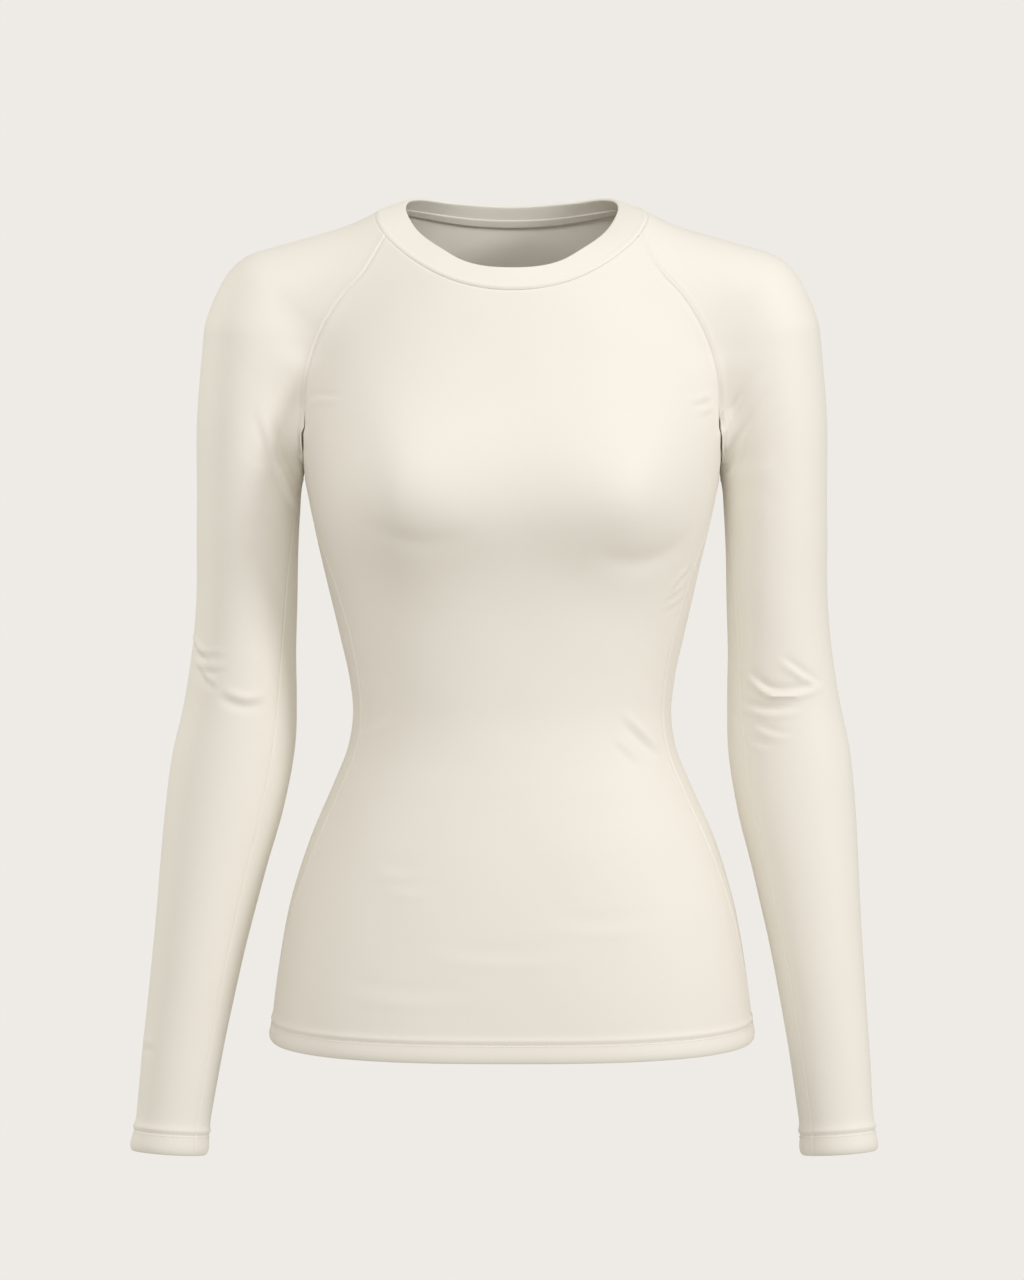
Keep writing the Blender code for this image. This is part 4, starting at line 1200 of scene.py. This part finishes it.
def tape_surface():
    """The tape's skin, as a closed loop of points at each place along it."""
    turns, foot, crown, foot_across, crown_across, _ = band_frame()
    covered = turns <= TAPE_TURN
    foot, crown = foot[covered], crown[covered]
    foot_across, crown_across = foot_across[covered], crown_across[covered]
    low = foot - foot_across * BAND_CLOTH
    high = crown - crown_across * BAND_CLOTH
    up = unit(high - low)
    inward = unit(-foot_across + np.sum(foot_across * up, axis=1)[:, None] * up)
    base = low + inward * TAPE_GAP + up * TAPE_GAP
    loop = [base + up * TAPE_DEPTH * rise + inward * TAPE_CLOTH * out for rise, out in TAPE_LOOP]
    return np.stack(loop, axis=1)


tape = tape_surface()
neck_tape = cloth_shell("neck_tape_cloth", tape, 0.0 * tape, strip_map(tape), tape_material(), closed=True)
caps = bmesh.new()
caps.from_mesh(neck_tape.data)
bmesh.ops.holes_fill(caps, edges=caps.edges[:], sides=0)
bmesh.ops.recalc_face_normals(caps, faces=caps.faces[:])
caps.to_mesh(neck_tape.data)
caps.free()
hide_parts("neck_tape")
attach(neck_tape, "root")

# ------------------------------------------------------------------------------------------
# Stitches. Polyester thread: flat seams on the raglans with fine threads from side to side,
# and two rows of short stitches along the hem and the cuffs.
THREAD_LIFT = 0.08 * MM


def thread_material():
    """Smooth thread, a little brighter and glossier than the knit."""
    made, tree, shader = new_material("thread")
    place = tree.nodes.new("ShaderNodeTexCoord").outputs["Object"]
    two_tone(tree, shader, noise_on(tree, place, 700.0), (0.72, 0.66, 0.56), (0.88, 0.84, 0.77))
    shader.inputs["Roughness"].default_value = 0.42
    shader.inputs["Sheen Weight"].default_value = 0.1
    return made


THREAD = thread_material()


def beside(face, rows, distance, last):
    """The line on a sleeve or panel at a distance from its first or last column."""
    spots = []
    for row in face[rows]:
        lengths = lengths_along(row)
        place = lengths[-1] - distance if last else distance
        spots.append(points_at(place, lengths, row))
    return np.array(spots)


def grain():
    """One stitch's points and faces, as long, wide and high as 1."""
    ball = bmesh.new()
    lying = Matrix.Rotation(math.radians(90.0), 4, "Y")
    bmesh.ops.create_uvsphere(ball, u_segments=6, v_segments=4, radius=0.5, matrix=lying)
    points = np.array([tuple(vertex.co) for vertex in ball.verts])
    faces = [[vertex.index for vertex in face.verts] for face in ball.faces]
    ball.free()
    return points, faces


GRAIN_POINTS, GRAIN_FACES = grain()


def stitch_row(spots, ways, ups, length, width, rise):
    """The points of a row of stitches, each long way along its own direction."""
    ways = unit(ways)
    sides = unit(np.cross(ups, ways))
    ups = np.cross(ways, sides)
    return (spots[:, None] + GRAIN_POINTS[None, :, 0:1] * ways[:, None] * length
            + GRAIN_POINTS[None, :, 1:2] * sides[:, None] * width
            + GRAIN_POINTS[None, :, 2:3] * ups[:, None] * rise)


def sew(name, rows):
    """One object of all the stitches in the rows."""
    points = np.concatenate([row.reshape(-1, 3) for row in rows])
    count = len(points) // len(GRAIN_POINTS)
    faces = [[corner + number * len(GRAIN_POINTS) for corner in face]
             for number in range(count) for face in GRAIN_FACES]
    mesh = bpy.data.meshes.new(name)
    mesh.from_pydata(points.tolist(), [], faces)
    mesh.shade_smooth()
    mesh.materials.append(THREAD)
    piece = set_out(name, mesh)
    fixed = bmesh.new()
    fixed.from_mesh(mesh)
    bmesh.ops.recalc_face_normals(fixed, faces=fixed.faces[:])
    fixed.to_mesh(mesh)
    fixed.free()
    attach(piece, "root")
    return piece


RAGLAN_PITCH = 1.2 * MM
RAGLAN_INNER = 0.9 * MM
RAGLAN_OUTER = 4.9 * MM
RAGLAN_WIDTH = 0.5 * MM
RAGLAN_RISE = 0.4 * MM
RAGLAN_LEAN = RAGLAN_PITCH * 0.5
FIRST_THREADS = 6


def raglan_rows(face, rings, swing, mirror):
    """The threads across one sleeve's two raglan seams, on the sleeve's side of each."""
    rows = []
    for last in (False, True):
        spans = slice(rings + FIRST_THREADS, None)
        near = beside(face, spans, RAGLAN_INNER, last)
        far = beside(face, spans, RAGLAN_OUTER, last)
        lengths = lengths_along((near + far) / 2)
        places = np.arange(0.0, lengths[-1], RAGLAN_PITCH)
        near = points_at(places, lengths, near)
        far = points_at(places + RAGLAN_LEAN, lengths, far)
        middle = (near + far) / 2
        ups = outward(middle, swing)
        length = RAGLAN_OUTER - RAGLAN_INNER
        row = stitch_row(middle + ups * THREAD_LIFT, far - near, ups, length, RAGLAN_WIDTH, RAGLAN_RISE)
        rows.append(row * mirror)
    return rows


MIRRORS = {"left": np.array((1.0, 1.0, 1.0)), "right": np.array((-1.0, 1.0, 1.0))}
sew("raglan_stitches", raglan_rows(left_face, left_rings, SWING["left"], MIRRORS["left"])
    + raglan_rows(right_face, right_rings, SWING["right"], MIRRORS["right"]))

HEM_PITCH = 2.6 * MM
HEM_LENGTH = 2.1 * MM
HEM_WIDTH = 0.42 * MM
HEM_RISE = 0.34 * MM
TIP_AHEAD = 0.2 * MM


def line_row(line, ups, mirror=MIRRORS["left"]):
    """A row of short stitches along a line."""
    lengths = lengths_along(line)
    places = np.arange(HEM_PITCH / 2, lengths[-1], HEM_PITCH)
    spots = points_at(places, lengths, line)
    tips = points_at(places + TIP_AHEAD, lengths, line)
    up = unit(points_at(places, lengths, ups))
    row = stitch_row(spots + up * THREAD_LIFT, tips - spots, up, HEM_LENGTH, HEM_WIDTH, HEM_RISE)
    return row * mirror


def across_row(face, normals, above, row_offsets):
    """The line along a grid's row at a height above its hem, and its outward directions."""
    row = int(np.argmin(np.abs(row_offsets - above)))
    return face[row], normals[row]


HEM_STITCHES = (11.6 * MM, 12.8 * MM)
CUFF_STITCHES = (12.6 * MM, 14.4 * MM)
PANEL_FACES = ((front_face, front_out), (back_face, back_out))
SLEEVE_FACES = (("left", left_face, left_out), ("right", right_face, right_out))
sew("hem_stitches", [line_row(*across_row(face, normals, above, HEM_ROWS))
                     for face, normals in PANEL_FACES for above in HEM_STITCHES])
sew("cuff_stitches", [line_row(*across_row(face, normals, above, CUFF_ROWS), MIRRORS[side])
                      for side, face, normals in SLEEVE_FACES for above in CUFF_STITCHES])

# ------------------------------------------------------------------------------------------
# Studio. A plain pale ground far below, a soft key light from the wearer's left, weaker ones
# from above and from the other side, and a camera straight in front.
GROUND_HEIGHT = -0.95
GROUND_SIZE = 30.0
PALE = (0.855, 0.831, 0.791)


def ground_material():
    """An evenly lit ground, which takes no shadow."""
    made, _, shader = new_material("pale_ground")
    shader.inputs["Base Color"].default_value = (0.0, 0.0, 0.0, 1.0)
    shader.inputs["Specular IOR Level"].default_value = 0.0
    shader.inputs["Emission Color"].default_value = (*PALE, 1.0)
    shader.inputs["Emission Strength"].default_value = 1.0
    return made


sheet = bmesh.new()
bmesh.ops.create_grid(sheet, x_segments=2, y_segments=2, size=GROUND_SIZE)
bmesh.ops.translate(sheet, vec=(0.0, 0.0, GROUND_HEIGHT), verts=sheet.verts)
ground_mesh = bpy.data.meshes.new("ground")
sheet.to_mesh(ground_mesh)
sheet.free()
ground_mesh.materials.append(ground_material())
ground = set_out("ground", ground_mesh)
ground.visible_diffuse = False
ground.visible_glossy = False
ground.visible_shadow = False

world = bpy.data.worlds.new("studio")
world.use_nodes = True
bpy.context.scene.world = world
backdrop = world.node_tree.nodes["Background"]
backdrop.inputs["Color"].default_value = (*PALE, 1.0)
fill = world.node_tree.nodes.new("ShaderNodeBackground")
fill.inputs["Color"].default_value = (1.0, 0.965, 0.89, 1.0)
fill.inputs["Strength"].default_value = 0.59
seen = world.node_tree.nodes.new("ShaderNodeLightPath")
choose = world.node_tree.nodes.new("ShaderNodeMixShader")
world.node_tree.links.new(seen.outputs["Is Camera Ray"], choose.inputs["Fac"])
world.node_tree.links.new(fill.outputs["Background"], choose.inputs[1])
world.node_tree.links.new(backdrop.outputs["Background"], choose.inputs[2])
world.node_tree.links.new(choose.outputs["Shader"], world.node_tree.nodes["World Output"].inputs["Surface"])


def aimed(place, aim):
    """The turn that points a lamp or the camera from its place at its aim."""
    return (Vector(aim) - Vector(place)).to_track_quat("-Z", "Y").to_euler()


Light = namedtuple("Light", "name place aim size power colour")
LIGHTS = (
    Light("key", (3.1, -2.1, 1.0), (0.0, 0.0, -0.40), 0.9, 53.0, (0.95, 0.955, 1.0)),
    Light("top", (-0.4, -1.7, 1.3), (0.0, 0.0, -0.10), 0.8, 15.0, (0.95, 0.95, 1.0)),
    Light("rim", (-2.3, 0.9, 0.4), (0.0, 0.0, -0.35), 1.2, 11.0, (1.0, 0.985, 0.96)),
)
for light in LIGHTS:
    lamp = bpy.data.lights.new(light.name, "AREA")
    lamp.shape = "DISK"
    lamp.size = light.size
    lamp.energy = light.power
    lamp.color = light.colour
    holder = set_out(light.name, lamp)
    holder.location = light.place
    holder.rotation_euler = aimed(light.place, light.aim)

CAMERA_PLACE = (0.0, -2.4, -0.15)
CAMERA_AIM = (0.0, 0.0, -0.1907)
CAMERA_LENS = 96.00
CAMERA_SHIFT = -0.1351
camera_data = bpy.data.cameras.new("camera")
camera_data.lens = CAMERA_LENS
camera_data.shift_y = CAMERA_SHIFT
camera = set_out("camera", camera_data)
camera.location = CAMERA_PLACE
camera.rotation_euler = aimed(CAMERA_PLACE, CAMERA_AIM)
bpy.context.scene.camera = camera
bpy.context.scene.view_settings.view_transform = "Standard"
